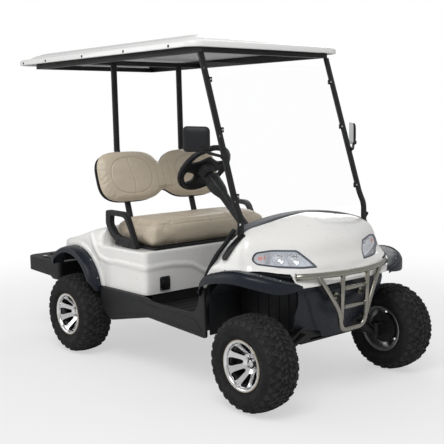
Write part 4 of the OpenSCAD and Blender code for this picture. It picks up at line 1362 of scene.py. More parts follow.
def make_rear_flares():
    rings = []
    steps = 56
    for i in range(steps + 1):
        t = i / steps
        angle = radians(6 + 144 * t)
        ends = min(1.0, sin(pi * min(1, max(0, t))) * 3.2)
        reach = 0.044 + 0.036 * ends
        lip = 0.01 + 0.02 * ends
        out = upright(angle)
        edge = 0.5655
        section = [(edge, 0.2905), (edge + 0.006, 0.2915), (edge + reach * 0.45, 0.291),
            (edge + reach * 0.8, 0.2865), (edge + reach * 0.95, 0.281), (edge + reach - 0.0003, 0.272),
            (edge + reach - 0.0003, 0.281 - lip), (edge + reach - 0.005, 0.281 - lip),
            (edge + reach - 0.006, 0.271), (edge + reach * 0.78, 0.2795), (edge + reach * 0.4, 0.285),
            (edge, 0.2855), (edge - 0.045, 0.2855), (edge - 0.045, 0.2905)]
        rings.append([at(ARCH_REAR[0] + out.x * r, y, ARCH_REAR[1] + out.z * r) for y, r in section])
    flares = make("rear_flares", loft(rings).both())
    cut(flares, prism([(TAIL_X, 0.3), (TAIL_X, 0.9), (TAIL_X - 0.3, 0.9), (TAIL_X - 0.3, 0.3)], -0.8, 0.8))
    softened(flares, 0.0012, 2, 45)
    finish(flares, "trim", ["rear_flares"], 40)
    bolts = []
    for degrees in (22, 48, 74, 100, 126):
        a = radians(degrees)
        out = upright(a)
        for s in (1, -1):
            bolts.append((at(ARCH_REAR[0] + out.x * 0.2912, s * 0.584, ARCH_REAR[1] + out.z * 0.2912),
                out, 0.8))
    fasteners("rear_flare_bolts", bolts, "bolt")


def make_rear_wells():
    """Liners inside the rear wheel arches, in the liner black that is darkened as painted shade of the deep
    wells.
    """
    sheet = []
    for k in range(41):
        a = radians(9 + k * 3.45)
        out = upright(a)
        sheet.append([at(ARCH_REAR[0] + out.x * r, y, ARCH_REAR[1] + out.z * r) for y,
            r in ((0.338, 0.287), (0.565, 0.287), (0.565, 0.29), (0.338, 0.29))])
    wells = loft(sheet)
    wall = [(ARCH_REAR[0] + 0.2868 * cos(radians(8 + k * 3.5)), ARCH_REAR[1] + 0.2868
        * sin(radians(8 + k * 3.5))) for k in range(41)]
    wells.add(prism(wall, 0.334, 0.3378))
    piece("rear_wells", wells.both(), "arch", angle=40)


SILL = mm((-361, 316), (-372, 598), (-404, 598), (-420, 520), (-455, 449), (-510, 441), (-850, 447),
    (-915, 465), (-1397, 465), (-1397, 400), (-1393, 330), (-1288, 264), (-890, 346))


def make_sills():
    sills = make("sill_panels", prism(rounded(SILL, 0.022, 4), 0.5656, 0.582).both())
    softened(sills, 0.003, 3, 40)
    finish(sills, "cabin", ["rocker_panels"], 40)
    ribs = Shape()
    line = [Vector(p) for p in rounded(mm((-400, 352), (-455, 405), (-520, 414), (-860, 418), (-940, 432),
        (-1370, 432)), 0.03, 4, False)]
    ribs.add(sweep([at(p.x, 0.5815, p.y) for p in line], bar(0.009, 0.007, 0.002), up=(0, 1, 0)))
    line = [Vector(p) for p in rounded(mm((-420, 335), (-890, 366), (-1270, 290)), 0.03, 4, False)]
    ribs.add(sweep([at(p.x, 0.5815, p.y) for p in line], bar(0.007, 0.006, 0.002), up=(0, 1, 0)))
    piece("sill_ribs", ribs.both(), "cabin", angle=50)


def make_tray():
    low, high = span("bag_tray")
    half, top, end, start = high.y, high.z, low.x, high.x
    plan = rounded([(start, -half), (start, half), (end + 0.05, half), (end, half - 0.05),
        (end, -half + 0.05), (end + 0.05, -half)], 0.03, 5)
    tray = make("bag_tray", prism(plan, 0.4, top, "z"))
    under = [(start + 0.02, 0.3), (start + 0.02, 0.424), (start - 0.09, 0.424), (start - 0.12, 0.441),
        (end - 0.02, 0.456), (end - 0.02, 0.3)]
    cut(tray, prism(under, -0.7, 0.7))
    well = rounded([(end + 0.072, -half + 0.132), (start - 0.042, -half + 0.132),
        (start - 0.042, half - 0.132), (end + 0.072, half - 0.132)], 0.035, 5)
    cut(tray, prism(well, top - 0.06, top + 0.05, "z"))
    slot = rounded([(end + 0.172, half - 0.058), (end + 0.298, half - 0.058), (end + 0.298, half - 0.034),
        (end + 0.172, half - 0.034)], 0.008, 3)
    cut(tray, prism(slot, 0.39, top + 0.05, "z").both())
    groove = Shape()
    for z in (0.487, 0.515):
        groove.add(box((end - 0.01, -half + 0.11, z - 0.003), (end + 0.002, half - 0.11, z + 0.003)))
    cut(tray, groove)
    softened(tray, 0.0035, 3, 40)
    finish(tray, "tray", ["bag_tray"], 40)
    ribs = Shape()
    for k in range(9):
        y = -0.36 + 0.09 * k
        ribs.add(prism([(end + 0.085, y - 0.007), (start - 0.055, y - 0.007), (start - 0.055, y + 0.007),
            (end + 0.085, y + 0.007)], top - 0.0605, top - 0.056, "z"))
    piece("tray_ribs", ribs, "tray", soft=0.0015)
    marks = prism(rounded([(end + 0.1, top - 0.002), (end + 0.15, top - 0.002),
        (end + 0.146, top + 0.0001), (end + 0.104, top + 0.0001)], 0.0005, 2), half - 0.1, half - 0.074)
    bolts = [(at(x, s * (half - 0.09), top - 0.0015), UP, 0.5) for x in (end + 0.09, start - 0.03)
        for s in (1, -1)]
    piece("tray_marks", marks.both(), "liner", angle=50)
    fasteners("tray_bolts", bolts, "bolt")


def make_charger():
    x = BOX_FRONT
    y, z = -0.42, 0.526
    plate = rounded([(y - 0.038, z - 0.042), (y + 0.038, z - 0.042), (y + 0.038, z + 0.042),
        (y - 0.038, z + 0.042)], 0.01, 4)
    made = make("charger_plate", prism(plate, x - 0.001, x + 0.0035, "x"))
    softened(made, 0.0012, 2)
    finish(made, "cabin", ["charger_socket"])
    cap = Shape()
    cap.add(knob(mm((24, 3), (25, 4), (25, 6), (22.5, 7.8), (12, 8.6), (1, 8.8)), at(x, y, z), (1, 0, 0),
        40))
    cap.add(lathe(mm((26.5, 3), (30, 3), (30, 6.2), (28.5, 7), (26.5, 6.2)), at(x, y, z), (1, 0, 0), 48))
    cap.add(box((x + 0.003, y - 0.01, z + 0.022), (x + 0.0082, y + 0.01, z + 0.036)))
    piece("charger_cap", cap, "cabin", soft=0.0006)
    corners = [(at(x + 0.0034, y + a * 0.03, z + b * 0.034), Vector((1, 0, 0)), 0.55) for a in (1, -1)
        for b in (1, -1)]
    fasteners("charger_screws", corners, "bolt")

# ---------- roof, posts, glass and mirrors ----------

def roof_outline(inward, z, radius=0.09):
    low, high = span("roof_top")
    x0, x1, half = low.x + inward, high.x - inward, high.y - inward
    r = max(0.02, radius - inward * 0.3)
    centres = [(x1 - r, -half + r, -90), (x1 - r, half - r, 0), (x0 + r, half - r, 90),
        (x0 + r, -half + r, 180)]
    outline = []
    for k, (cx, cy, start) in enumerate(centres):
        outline += arc((cx, cy), r, start, start + 90, 12)
        nx, ny, turn = centres[(k + 1) % 4]
        a = outline[-1]
        b = (nx + r * cos(radians(turn)), ny + r * sin(radians(turn)))
        outline += [(a[0] + (b[0] - a[0]) * j / 14, a[1] + (b[1] - a[1]) * j / 14) for j in range(1, 14)]
    middle = (x0 + x1) / 2
    bow = (x1 - x0) / 2
    result = []
    for x, y in outline:
        pull = 0.016 * max(0, (x - middle) / bow) ** 6 * min(1, (y / 0.5) ** 2)
        result.append(at(x - pull, y, z))
    return result


ROOF_SECTION = mm((4, 1893.2), (0, 1896), (0, 1918), (3, 1925), (10, 1929), (18, 1928.5), (23, 1924.5),
    (30, 1924), (40, 1925), (52, 1933), (70, 1945.5), (90, 1955), (105, 1959), (110, 1959.5), (118, 1965),
    (135, 1970), (180, 1973), (300, 1974.5), (480, 1974.9))
ROOF_UNDER = mm((480, 1918.6), (30, 1918.6), (19, 1916), (16, 1906), (15, 1894), (11, 1893.1))


def make_roof():
    rings = [roof_outline(d, z) for d, z in ROOF_UNDER + ROOF_SECTION]
    piece("roof_shell", loft(rings), "roof", ["roof_top"], angle=50)

    liner = loft([roof_outline(0.0192, 1.9178), roof_outline(0.0195, 1.915), roof_outline(0.034, 1.914),
        roof_outline(0.036, 1.9178)])
    piece("roof_liner_border", liner, "liner", angle=40)
    sheet = loft([roof_outline(0.037, 1.91815), roof_outline(0.037, 1.9166), roof_outline(0.05, 1.916)])
    piece("roof_liner", sheet, "liner", angle=40)
    holes = Shape()
    for x in (-0.62, -1.05, -1.5, -1.95, -2.25):
        holes.add(knob(mm((7, -1.2), (8.5, -0.8), (8.5, 0.6), (6, 1.2), (1, 0.8)),
            at(x, 0.5955 - 0.0008, 1.906), (0, 1, 0), 18))
    piece("roof_plugs", holes.both(), "seal", angle=50)


def post_place(z):
    """x of a front post's middle at a height."""
    return -0.188 + (-0.464 + 0.188) * (z - 1.051) / (1.886 - 1.051)


def make_front_posts():
    """Flat-bar posts that carry the windshield, each with the bracket that holds its foot."""
    foot = -0.155
    bend = (-0.188, 1.051)
    slope = Vector((-0.276, 0, 0.835)).normalized()
    path = rounded([Vector((foot, 0.502, 0.89)), Vector((foot, 0.502, 0.992)),
        Vector((bend[0], 0.502, bend[1])), Vector((-0.464, 0.502, 1.886)) - slope * 0.021], 0.035, 6,
        False)
    posts = sweep([at(*p) for p in path], bar(0.016, 0.036, 0.0035), up=(0, 1, 0))
    made = make("windshield_posts", posts.both())
    finish(made, "frame", ["windshield_posts"], 40)
    # the bracket's outline runs round both of its ends
    line = rounded(mm((-144, 944), (-150, 893), (-228, 780)), 0.03, 6, False)
    left, right = [], []
    for i, p in enumerate(line):
        ahead = (line[min(i + 1, len(line) - 1)] - line[max(i - 1, 0)]).normalized()
        side = Vector((-ahead.y, ahead.x)) * 0.0165
        left.append(p + side)
        right.append(p - side)
    end = line[-1]
    way = (line[-1] - line[-2]).normalized()
    cap = [end + Vector((way.x * sin(t) + way.y * cos(t) * -1, way.y * sin(t) + way.x * cos(t))) * 0.0165
        for t in [pi * k / 10 for k in range(1, 10)]]
    outline = left + cap + right[::-1]
    bracket = make("post_brackets", prism(outline, 0.488, 0.588).both())
    cut(bracket, cowl_solid(0.0098, 0.012), "INTERSECT")
    cut(bracket, cowl_solid(0.0004, 0.012))
    softened(bracket, 0.002, 2, 40)
    finish(bracket, "frame", angle=40)


def make_posts():
    repaint("frame", "roof_frame", "roof_posts")
    make_front_posts()
    repaint("pane", "windshield")
    bolts = []
    for s in (1, -1):
        for z in (1.072, 1.415, 1.779):
            bolts.append((at(post_place(z), s * 0.5101, z), Vector((0, s, 0)), 1.5))
        bolts.append((at(-0.15, s * 0.5101, 0.958), Vector((0, s, 0)), 1.3))
        for z in (1.1, 1.45, 1.72):
            bolts.append((at(post_place(z) + 0.01, s * 0.482, z), Vector((1, 0, 0.33)), 0.9))
    fasteners("post_bolts", bolts, "chrome")
    clips = Shape()
    for z in (1.1, 1.45, 1.72):
        x = post_place(z)
        clips.add(box((x - 0.006, 0.47, z - 0.014), (x + 0.009, 0.4935, z + 0.014)))
    piece("glass_clips", clips.both(), "frame", soft=0.002)
    foot, knee = rear_post_line()
    way = (knee - foot).normalized()
    collars = lathe(mm((20.6, 0), (34, 0), (34, 4), (26, 9), (20.6, 11)), foot + way * 0.118, way, 40)
    piece("post_collars", collars.both(), "frame", angle=50)


def make_mirrors():
    shells, edges, glass, arms = Shape(), Shape(), Shape(), Shape()
    centre = Vector((-0.302, 0.576, 1.405))
    turn = radians(50)
    out = Vector((cos(turn), sin(turn), 0))
    across = Vector((-sin(turn), cos(turn), 0))
    up = UP
    middle = centre + across * 0.073

    def outline(scale_w, scale_h, depth, radius):
        w, h = 0.073 * scale_w, 0.07 * scale_h
        ring = rounded([(-w, -h * 0.92), (w, -h), (w, h), (-w, h * 0.92)], radius, 7)
        return [at(*(middle + across * p.x + up * p.y + out * depth)) for p in ring]
    shells.add(loft([outline(0.3, 0.28, 0.0238, 0.012), outline(0.62, 0.6, 0.0228, 0.02),
        outline(0.86, 0.85, 0.019, 0.026), outline(0.97, 0.96, 0.013, 0.028),
        outline(0.995, 0.99, 0.005, 0.028), outline(0.985, 0.98, 0.0012, 0.028)]))
    edges.add(loft([outline(0.992, 0.988, 0.003, 0.028), outline(0.999, 0.998, 0.0016, 0.028),
        outline(0.992, 0.988, 0.0002, 0.028), outline(0.955, 0.95, 0.0001, 0.026),
        outline(0.95, 0.945, 0.0016, 0.026)]))
    glass.add(loft([outline(0.945, 0.94, 0.0016, 0.026), outline(0.945, 0.94, 0.0006, 0.026),
        outline(0.9, 0.895, 0.0004, 0.025)]))
    foot_x = post_place(1.31)
    foot = Vector((foot_x, 0.512, 1.31))
    end = middle - across * 0.036 + up * -0.055 + out * 0.014
    path = [foot, foot + Vector((0.004, 0.022, 0.004)), foot * 0.45 + end * 0.55
        + Vector((0, 0.008, -0.004)), end + Vector((0, -0.004, -0.004)), end + Vector((0, 0, 0.012))]
    arms.add(tube([at(*p) for p in smooth_line(path, 7)], 0.0085, 16))
    arms.add(knob(mm((15, 0), (16.5, 2), (16.5, 7), (12.5, 13), (8.5, 16)), at(foot_x, 0.5103, 1.31),
        (0, 1, 0), 28))
    arms.add(knob(mm((6, -14), (13.5, -10), (15, 0), (13.5, 9), (6, 12)), at(*end), (0, 0, 1), 24))
    piece("mirror_shells", shells.both(), "cabin", ["mirrors"], angle=50)
    piece("mirror_edges", edges.both(), "chrome", angle=50)
    piece("mirror_glass", glass.both(), "mirror", angle=50)
    piece("mirror_arms", arms.both(), "frame", angle=50)

# ---------- seats ----------

def swell(made, voxel, pressure, most, low, high):
    """Pads a closed form with the cloth solver, and keeps it between two corners of a box."""
    modifier = made.modifiers.new("Remesh", "REMESH")
    modifier.mode = "VOXEL"
    modifier.voxel_size = voxel
    flattened(made)
    start = numbers(made)
    cloth = made.modifiers.new("Cloth", "CLOTH")
    settings = cloth.settings
    settings.use_pressure = True
    settings.uniform_pressure_force = pressure
    settings.quality = 4
    settings.mass = 0.3
    settings.tension_stiffness = settings.compression_stiffness = 12
    settings.shear_stiffness = 6
    settings.bending_stiffness = 0.6
    settings.effector_weights.gravity = 0
    cloth.collision_settings.use_collision = False
    cloth.point_cache.frame_start, cloth.point_cache.frame_end = 1, 20
    for step in range(1, 21):
        bpy.context.scene.frame_set(step)
    flattened(made)
    bpy.context.scene.frame_set(1)
    move = numbers(made) - start
    far = np.linalg.norm(move, axis=1)[:, None]
    move *= np.minimum(1, most / np.maximum(far, 1e-9))
    end = np.clip(start + move, np.array(low), np.array(high))
    made.data.vertices.foreach_set("co", end.ravel())
    made.data.update()
    modified(made, "SUBSURF", levels=1, render_levels=1)
    return made


def press(made, lines, depth, width):
    """Presses sewn channels into a soft piece along lines of points."""
    made.data.update()
    place, normal = numbers(made), numbers(made, "normal")
    nearest = np.full(len(place), 9.0)
    for line in lines:
        p = np.array([tuple(q) for q in line])
        for a, b in zip(p[:-1], p[1:]):
            along_it = b - a
            t = np.clip(((place - a) @ along_it) / max(along_it @ along_it, 1e-12), 0, 1)
            off = np.linalg.norm(place - (a + t[:, None] * along_it), axis=1)
            nearest = np.minimum(nearest, off)
    rim = np.exp(-((nearest - width * 2.4) / width) ** 2)
    depth_here = depth * np.exp(-(nearest / width) ** 2) - depth * 0.22 * rim
    made.data.vertices.foreach_set("co", (place - normal * depth_here[:, None]).ravel())
    made.data.update()


def onto(made, lines, way, lift=0.0005, reach=0.2):
    """Lines of points laid on a piece's surface, looked for along a direction."""
    way = Vector(way).normalized()
    result = []
    work = bmesh.new()
    work.from_mesh(made.data)
    seek = BVHTree.FromBMesh(work)
    for line in lines:
        laid = []
        for p in line:
            hit, normal, _, _ = seek.ray_cast(Vector(p) - way * reach, way)
            if hit is not None:
                laid.append(hit + normal * lift)
        if len(laid) > 1:
            result.append(laid)
    work.free()
    return result


BACK_LEAN = atan(0.175 / 0.577)
BACK_UP = Vector((-sin(BACK_LEAN), 0, cos(BACK_LEAN)))
BACK_AHEAD = Vector((cos(BACK_LEAN), 0, sin(BACK_LEAN)))
BACK_PLACE = Vector((REAR_X + 0.215 - 0.175 * 0.395 / 0.577 + 0.0233, 0, 1.13))


def on_back(u, v, w):
    """A place on the backrest: across, up along it and forwards from its shell's rear face."""
    return at(*(BACK_PLACE + Vector((0, u, 0)) + BACK_UP * v + BACK_AHEAD * w))


def back_outline(u, v, grow=0.0):
    """Distance outside the two-lobed outline of the backrest."""
    a = np.abs(u)
    lobe = ((np.abs((a - 0.262) / (0.243 + grow)) ** 3.3 + np.abs(v / (0.1725 + grow)) ** 3.3) ** (1
        / 3.3) - 1) * 0.16
    waist = smooth_max([a - 0.2, v - 0.082 - grow, -v - 0.104 - grow], 0.01)
    return smooth_min([lobe, waist], 0.016)


def back_skin(grow, low, high, edge, cell):
    """The backrest outline made thick: from low to high, its rim rounded by edge."""
    def field(x, y, z):
        dx, dz = x - BACK_PLACE.x, z - BACK_PLACE.z
        v = dx * BACK_UP.x + dz * BACK_UP.z
        w = dx * BACK_AHEAD.x + dz * BACK_AHEAD.z
        crown = 0.01 * np.clip(1 - np.abs((np.abs(y) - 0.262) / 0.24) ** 2.4, 0,
            1) * np.clip(1 - np.abs(v / 0.17) ** 2.4, 0, 1)
        return smooth_max([back_outline(y, v, grow), w - high + 0.01 - crown, low - w], edge)
    middle = BACK_PLACE + BACK_AHEAD * (low + high) / 2
    return skin(field, tuple(middle), (0.12, 0.5, 0.17), cell)


def back_ring(grow, w, steps=260):
    """The backrest's outline as a closed ring of places, found outwards from the middle."""
    angle = np.linspace(0, 2 * pi, steps, endpoint=False)
    angle += 0.3 * np.sin(2 * angle)
    near, far = np.zeros(steps), np.full(steps, 0.7)
    for _ in range(30):
        middle = (near + far) / 2
        inside = back_outline(middle * np.cos(angle), middle * np.sin(angle)) < grow
        near, far = np.where(inside, middle, near), np.where(inside, far, middle)
    return [on_back(r * cos(t), r * sin(t), w) for r, t in zip(near, angle)]


def turned(v):
    """Squares off a sine or cosine a little, for a fuller oval."""
    return copysign(abs(v) ** 0.82, v)


def make_backrest():
    back = make("backrest_pad", back_skin(0.012, 0.0148, 0.0693, 0.011, 0.012))
    low, high = span("backrest_cushion")
    swell(back, 0.006, 3.5, 0.014, tuple(at(low.x - 0.008, low.y - 0.006, low.z - 0.006)),
        tuple(at(high.x + 0.009, high.y + 0.006, high.z + 0.006)))
    keep_ahead(back)
    lines = []
    for s in (1, -1):
        oval = [on_back(s * (0.262 + 0.158 * turned(sin(t))), 0.122 * turned(cos(t)) - 0.002, 0.05)
            for t in [pi * 2 * k / 72 for k in range(73)]]
        lines.append(oval)
        lines.append([on_back(s * (0.262 + 0.012 * cos(t * 1.4)), 0.12 - 0.244 * (t / pi), 0.05)
            for t in [pi * k / 26 for k in range(27)]])
        lines.append([on_back(s * 0.055, 0.086 - 0.19 * k / 16, 0.05) for k in range(17)])
    lines.append([on_back(0, 0.08 - 0.182 * k / 16, 0.05) for k in range(17)])
    ahead = -BACK_AHEAD
    laid = onto(back, lines, ahead, 0.0)
    press(back, laid, 0.0034, 0.0042)
    made = finish(back, "seat", ["backrest_cushion"], 70)
    rows = onto(back, lines, ahead, 0.0004)
    stitches("backrest_stitches", rows, "chassis")
    shell = loft([back_ring(-0.01, 0.0), back_ring(-0.007, 0.0015), back_ring(-0.0045, 0.0045),
        back_ring(-0.0045, 0.012), back_ring(-0.0055, 0.0136), back_ring(-0.008, 0.0141)])
    piece("backrest_shell", shell, "cabin", ["backrest_shell"], angle=50)
    plates = Shape()
    for s in (1, -1):
        for v in (-0.07, 0.07):
            ring = rounded([(s * 0.272 - 0.025, v - 0.02), (s * 0.272 + 0.025, v - 0.02),
                (s * 0.272 + 0.025, v + 0.02), (s * 0.272 - 0.025, v + 0.02)], 0.006, 3)
            plates.add(loft([[on_back(p.x, p.y, w) for p in ring] for w in (-0.002, 0.001)]))
    piece("backrest_plates", plates, "frame", soft=0.0006)


def keep_ahead(back):
    """Nothing of the pad goes behind its shell's front face."""
    place = numbers(back)
    origin = np.array(tuple(on_back(0, 0, 0.0146)))
    ahead = np.array(tuple(BACK_AHEAD))
    behind = np.minimum(0, (place - origin) @ ahead)
    back.data.vertices.foreach_set("co", (place - behind[:, None] * ahead).ravel())
    back.data.update()


def make_cushion():
    low, high = span("seat_cushion")
    middle = (low + high) / 2
    half = (high - low) / 2

    def field(x, y, z):
        dx, dy, dz = x - middle.x, y - middle.y, z - middle.z
        crown = 0.012 * np.clip(1 - (dx / half.x) ** 2, 0, 1) * np.clip(1 - np.abs(dy / half.y) ** 4, 0, 1)
        front = dx - half.x + 0.012 + 1.4 * (dz - 0.02) ** 2
        sides = np.abs(dy) - half.y + 0.01
        return smooth_max([front, -dx - half.x + 0.01, sides, dz - half.z + 0.018 - crown,
            -dz - half.z + 0.002], 0.017)
    seat = make("bench_pad", skin(field, tuple(middle), (half.x * 0.92, half.y * 0.97, half.z * 0.85),
        0.014))
    swell(seat, 0.0066, 4.0, 0.022, tuple(at(low.x + 0.001, low.y - 0.004, low.z + 0.0003)),
        tuple(at(high.x + 0.012, high.y + 0.004, high.z + 0.012)))
    front = high.x - 0.052
    edge = [(front, -half.y + 0.05), (front, half.y - 0.05), (low.x + 0.05, half.y - 0.05),
        (low.x + 0.05, -half.y + 0.05)]
    ring = rounded(edge, 0.05, 8)
    loop = []
    for a, b in zip(ring, ring[1:] + ring[:1]):
        loop += [a + (b - a) * k / 8 for k in range(8)]
    line = [at(p.x, p.y, high.z) for p in loop + [loop[0]]]
    panels = [[at(front - 0.002 + (low.x + 0.052 - front) * k / 24, y, high.z) for k in range(25)]
        for y in (-0.162, 0.162)]
    laid = onto(seat, [line] + panels, (0, 0, -1), 0.0)
    press(seat, laid, 0.0038, 0.0048)
    made = finish(seat, "seat", ["seat_cushion"], 70, body="seat_lid")
    rows = onto(seat, [line] + panels, (0, 0, -1), 0.0004)
    stitches("cushion_stitches", rows, "seat_lid")


ARM_OUTER = mm((-1071, 0.4), (-1104, 64), (-1168, 196), (-1205, 219), (-1394, 222), (-1398, 134),
    (-1350, 64), (-1270, 19), (-1180, 0.4))
ARM_INNER = mm((-1120, 64), (-1190, 179), (-1215, 189), (-1345, 192), (-1350, 134), (-1300, 79), (-1230, 59))


def make_armrests():
    high = span("armrests")[1]
    outer = [Vector(p) for p in rounded([(x, BOX_TOP + z) for x, z in ARM_OUTER], 0.022, 5)]
    inner = [Vector(p) for p in rounded([(x, BOX_TOP + z) for x, z in ARM_INNER], 0.018, 5)]
    arms = make("armrests", prism(outer, high.y - 0.034, high.y).both())
    cut(arms, prism(inner, high.y - 0.06, high.y + 0.02).both())
    softened(arms, 0.0065, 4, 40)
    finish(arms, "cabin", ["armrests"], 45)
    way = [Vector(p) for p in rounded([(x, BOX_TOP + z) for x, z in mm((-1096, 30), (-1118, 75),
        (-1183, 192), (-1212, 205), (-1372, 207), (-1374, 140))], 0.018, 5, False)]
    beads = tube([at(p.x, high.y - 0.0008, p.y) for p in way], 0.0018, 8)
    piece("armrest_beads", beads.both(), "cabin", angle=60)
    bolts = [(at(x, s * (high.y + 0.0001), z), Vector((0, s, 0)), 0.8) for x,
        z in ((-1.15, BOX_TOP + 0.024), (-1.262, BOX_TOP + 0.04)) for s in (1, -1)]
    fasteners("armrest_bolts", bolts, "frame")


def make_seat_pan():
    low, high = span("seat_pan")
    plan = [Vector(p) for p in rounded([(high.x, -high.y), (high.x, high.y), (low.x, high.y),
        (low.x, -high.y)], 0.02, 4)]
    made = make("seat_pan", prism(plan, low.z, high.z, "z"))
    softened(made, 0.003, 3)
    finish(made, "cabin", ["seat_pan"], 40, body="seat_lid")

# ---------- steering, guard and running gear ----------

def wheel_frame():
    """The steering wheel's own directions: across, up the wheel's face and out along the column."""
    out = COLUMN_AXIS if COLUMN_AXIS.z > 0 else -COLUMN_AXIS
    across = Vector((0, 1, 0))
    rise = out.cross(across).normalized()
    if rise.z < 0:
        rise = -rise
    return across, rise, out


def on_wheel(u, v, w):
    across, rise, out = wheel_frame()
    return COLUMN_TOP + across * u + rise * v + out * w


def plate_on_wheel(outline, low, high):
    return loft([[on_wheel(p[0], p[1], w) for p in outline] for w in (low, high)])


def make_steering_wheel():
    _, _, out = wheel_frame()
    rings = []
    steps = 120
    for i in range(steps):
        a = 2 * pi * i / steps
        grip = 0.0156 + 0.0005 * cos(a * 30)
        section = []
        for k in range(16):
            b = 2 * pi * k / 16
            r = 0.18 - 0.0163 + grip * cos(b)
            section.append(on_wheel(r * cos(a), r * sin(a), grip * sin(b) * 0.95))
        rings.append(section)
    piece("steering_rim", loft(rings, loop=True), "cabin", ["steering_wheel"], angle=60, body="steering")
    disc = [(0.156 * cos(2 * pi * k / 72), 0.156 * sin(2 * pi * k / 72)) for k in range(72)]
    face = make("steering_spokes", plate_on_wheel(disc, -0.012, 0.0035))
    openings = Shape()
    upper = rounded(mm((20, 150), (105, 112), (142, 52), (75, 48), (0, 92), (-75, 48), (-142, 52),
        (-105, 112), (-20, 150)), 0.022, 5)
    openings.add(plate_on_wheel(upper, -0.05, 0.05))
    for s in (1, -1):
        lower = rounded([(s * 0.055, -0.04), (s * 0.135, -0.012), (s * 0.132, -0.062),
            (s * 0.085, -0.118), (s * 0.04, -0.095)], 0.024, 5)
        openings.add(plate_on_wheel(lower, -0.05, 0.05))
    cut(face, openings)
    softened(face, 0.0035, 3, 40)
    finish(face, "cabin", angle=45, body="steering")
    outline = rounded(mm((-66, 46), (66, 46), (78, 0), (48, -64), (-48, -64), (-78, 0)), 0.024, 6)

    def scaled(k, w):
        return [on_wheel(p.x * k, p.y * k - 0.004, w) for p in outline]
    pad = loft([scaled(k, w) for k, w in ((1.0, 0.0), (1.0, 0.01), (0.955, 0.016), (0.9, 0.0185),
        (0.86, 0.018), (0.83, 0.0172), (0.4, 0.0195))])
    piece("steering_pad", pad, "cabin", angle=40, body="steering")
    boss = Shape()
    boss.add(knob(mm((30, -62), (40, -52), (50, -30), (56, -13), (56, -11)), on_wheel(0, 0, 0), out, 48))
    boss.add(knob(mm((10, -395), (10.8, -390), (10.8, -55), (9, -52)), on_wheel(0, 0, 0), out, 24))
    piece("steering_boss", boss, "cabin", angle=40, body="steering")


def make_column():
    _, _, out = wheel_frame()
    rings = []
    for w, width, height, drop in ((-0.068, 0.052, 0.05, 0.0), (-0.075, 0.074, 0.066, 0.0),
            (-0.09, 0.088, 0.08, 0.002), (-0.15, 0.09, 0.082, 0.004), (-0.185, 0.08, 0.074, 0.002),
            (-0.215, 0.062, 0.06, 0.0), (-0.235, 0.05, 0.05, 0.0), (-0.33, 0.0475, 0.0475, 0.0),
            (-0.558, 0.0475, 0.0475, 0.0), (-0.56, 0.044, 0.044, 0.0)):
        ring = rounded([(-width / 2, -height / 2), (width / 2, -height / 2), (width / 2, height / 2),
            (-width / 2, height / 2)], min(width, height) * 0.42, 5)
        rings.append([on_wheel(p.x, p.y - drop, w) for p in ring])
    made = make("steering_column", loft(rings))
    cut(made, knob([(0.0165, -0.47), (0.0165, 0.02)], on_wheel(0, 0, 0), out, 32))
    finish(made, "cabin", ["steering_column"], 40)
    seams = loft([[on_wheel(p.x, p.y, h) for p in rounded(mm((-45.8, -44.5), (45.8, -44.5), (45.8, 37.5),
        (-45.8, 37.5)), 0.034, 5)] for h in (-0.122, -0.119)])
    band = make("column_band", seams)
    cut(band, knob([(0.0165, -0.47), (0.0165, 0.02)], on_wheel(0, 0, 0), out, 32))
    finish(band, "frame", angle=40)


def make_guard():
    z = 0.69
    bars = Shape()
    bar_path = [(0.114, 0.368, z), (0.161, 0.259, z), (0.203, 0.096, z), (0.203, -0.096, z),
        (0.161, -0.259, z), (0.114, -0.368, z)]
    bars.add(tube([at(*p) for p in rounded(bar_path, 0.05, 6, False)], 0.0168, 22))
    leg = [(0.166, 0.25, z - 0.002), (0.192, 0.12, 0.492), (0.184, 0.094, 0.398), (0.18, 0.07, 0.376),
        (0.18, -0.07, 0.376), (0.184, -0.094, 0.398), (0.192, -0.12, 0.492), (0.166, -0.25, z - 0.002)]
    bars.add(tube([at(*p) for p in rounded(leg, [0.05, 0.05, 0.03, 0.03, 0.03, 0.03, 0.05, 0.05], 6,
        False)], 0.014, 20))
    for s in (1, -1):
        x0, x1 = 0.203, 0.203 - 0.054 * (z - 0.452)
        bars.add(tube([at(x0, s * 0.1, z - 0.002), at(x1, s * 0.1, 0.43)], 0.013, 18))
        x = 0.203 - 0.054 * (z - 0.56)
        bars.add(tube([at(x, s * 0.1, 0.56), at(0.1512, s * 0.1, 0.56)], 0.008, 14))
        bars.add(knob(mm((20, 0), (20, 3), (16.5, 4.2), (8, 4.5)), at(0.1507, s * 0.1, 0.56), (1, 0, 0),
            28))
    for height in (0.605, 0.503):
        x = 0.203 - 0.054 * (z - height)
        bars.add(tube([at(x, -0.094, height), at(x, 0.094, height)], 0.012, 18))
    guard = make("brush_guard", bars)
    finish(guard, "steel", ["brush_guard"], 60)
    welds = Shape()
    for s in (1, -1):
        for height in (0.605, 0.503):
            x = 0.203 - 0.054 * (z - height)
            welds.add(lathe(mm((11.8, 0), (14.5, 0), (13.5, 3), (11.8, 3.6)), at(x, s * 0.0868, height),
                (0, -s, 0), 28))
        welds.add(lathe(mm((12.8, 0), (15.8, 0), (14.6, 3), (12.8, 4)), at(0.2022, s * 0.1, z - 0.0175),
            (0, 0, -1), 28))
    piece("guard_welds", welds, "steel", angle=60)
    bolts = [(at(0.115, s * 0.368, z + 0.016), UP, 1.0) for s in (1, -1)]
    fasteners("guard_bolts", bolts, "bolt")


def make_running_gear():
    repaint("chassis", "chassis_frame")
    repaint("mat", "floor_pan")
    repaint("battery", "battery_pack")
    repaint("gear", "front_suspension", "knuckle_left", "knuckle_right", "rear_axle", "rear_springs")
    repaint("cabin", "pedals")
    mats = Shape()
    for k in range(7):
        x = -0.88 + 0.065 * k
        mats.add(box((x - 0.004, 0.06, 0.3999), (x + 0.004, 0.5, 0.4025)))
    piece("floor_ribs", mats.both(), "mat", soft=0.001)
    make_dash()


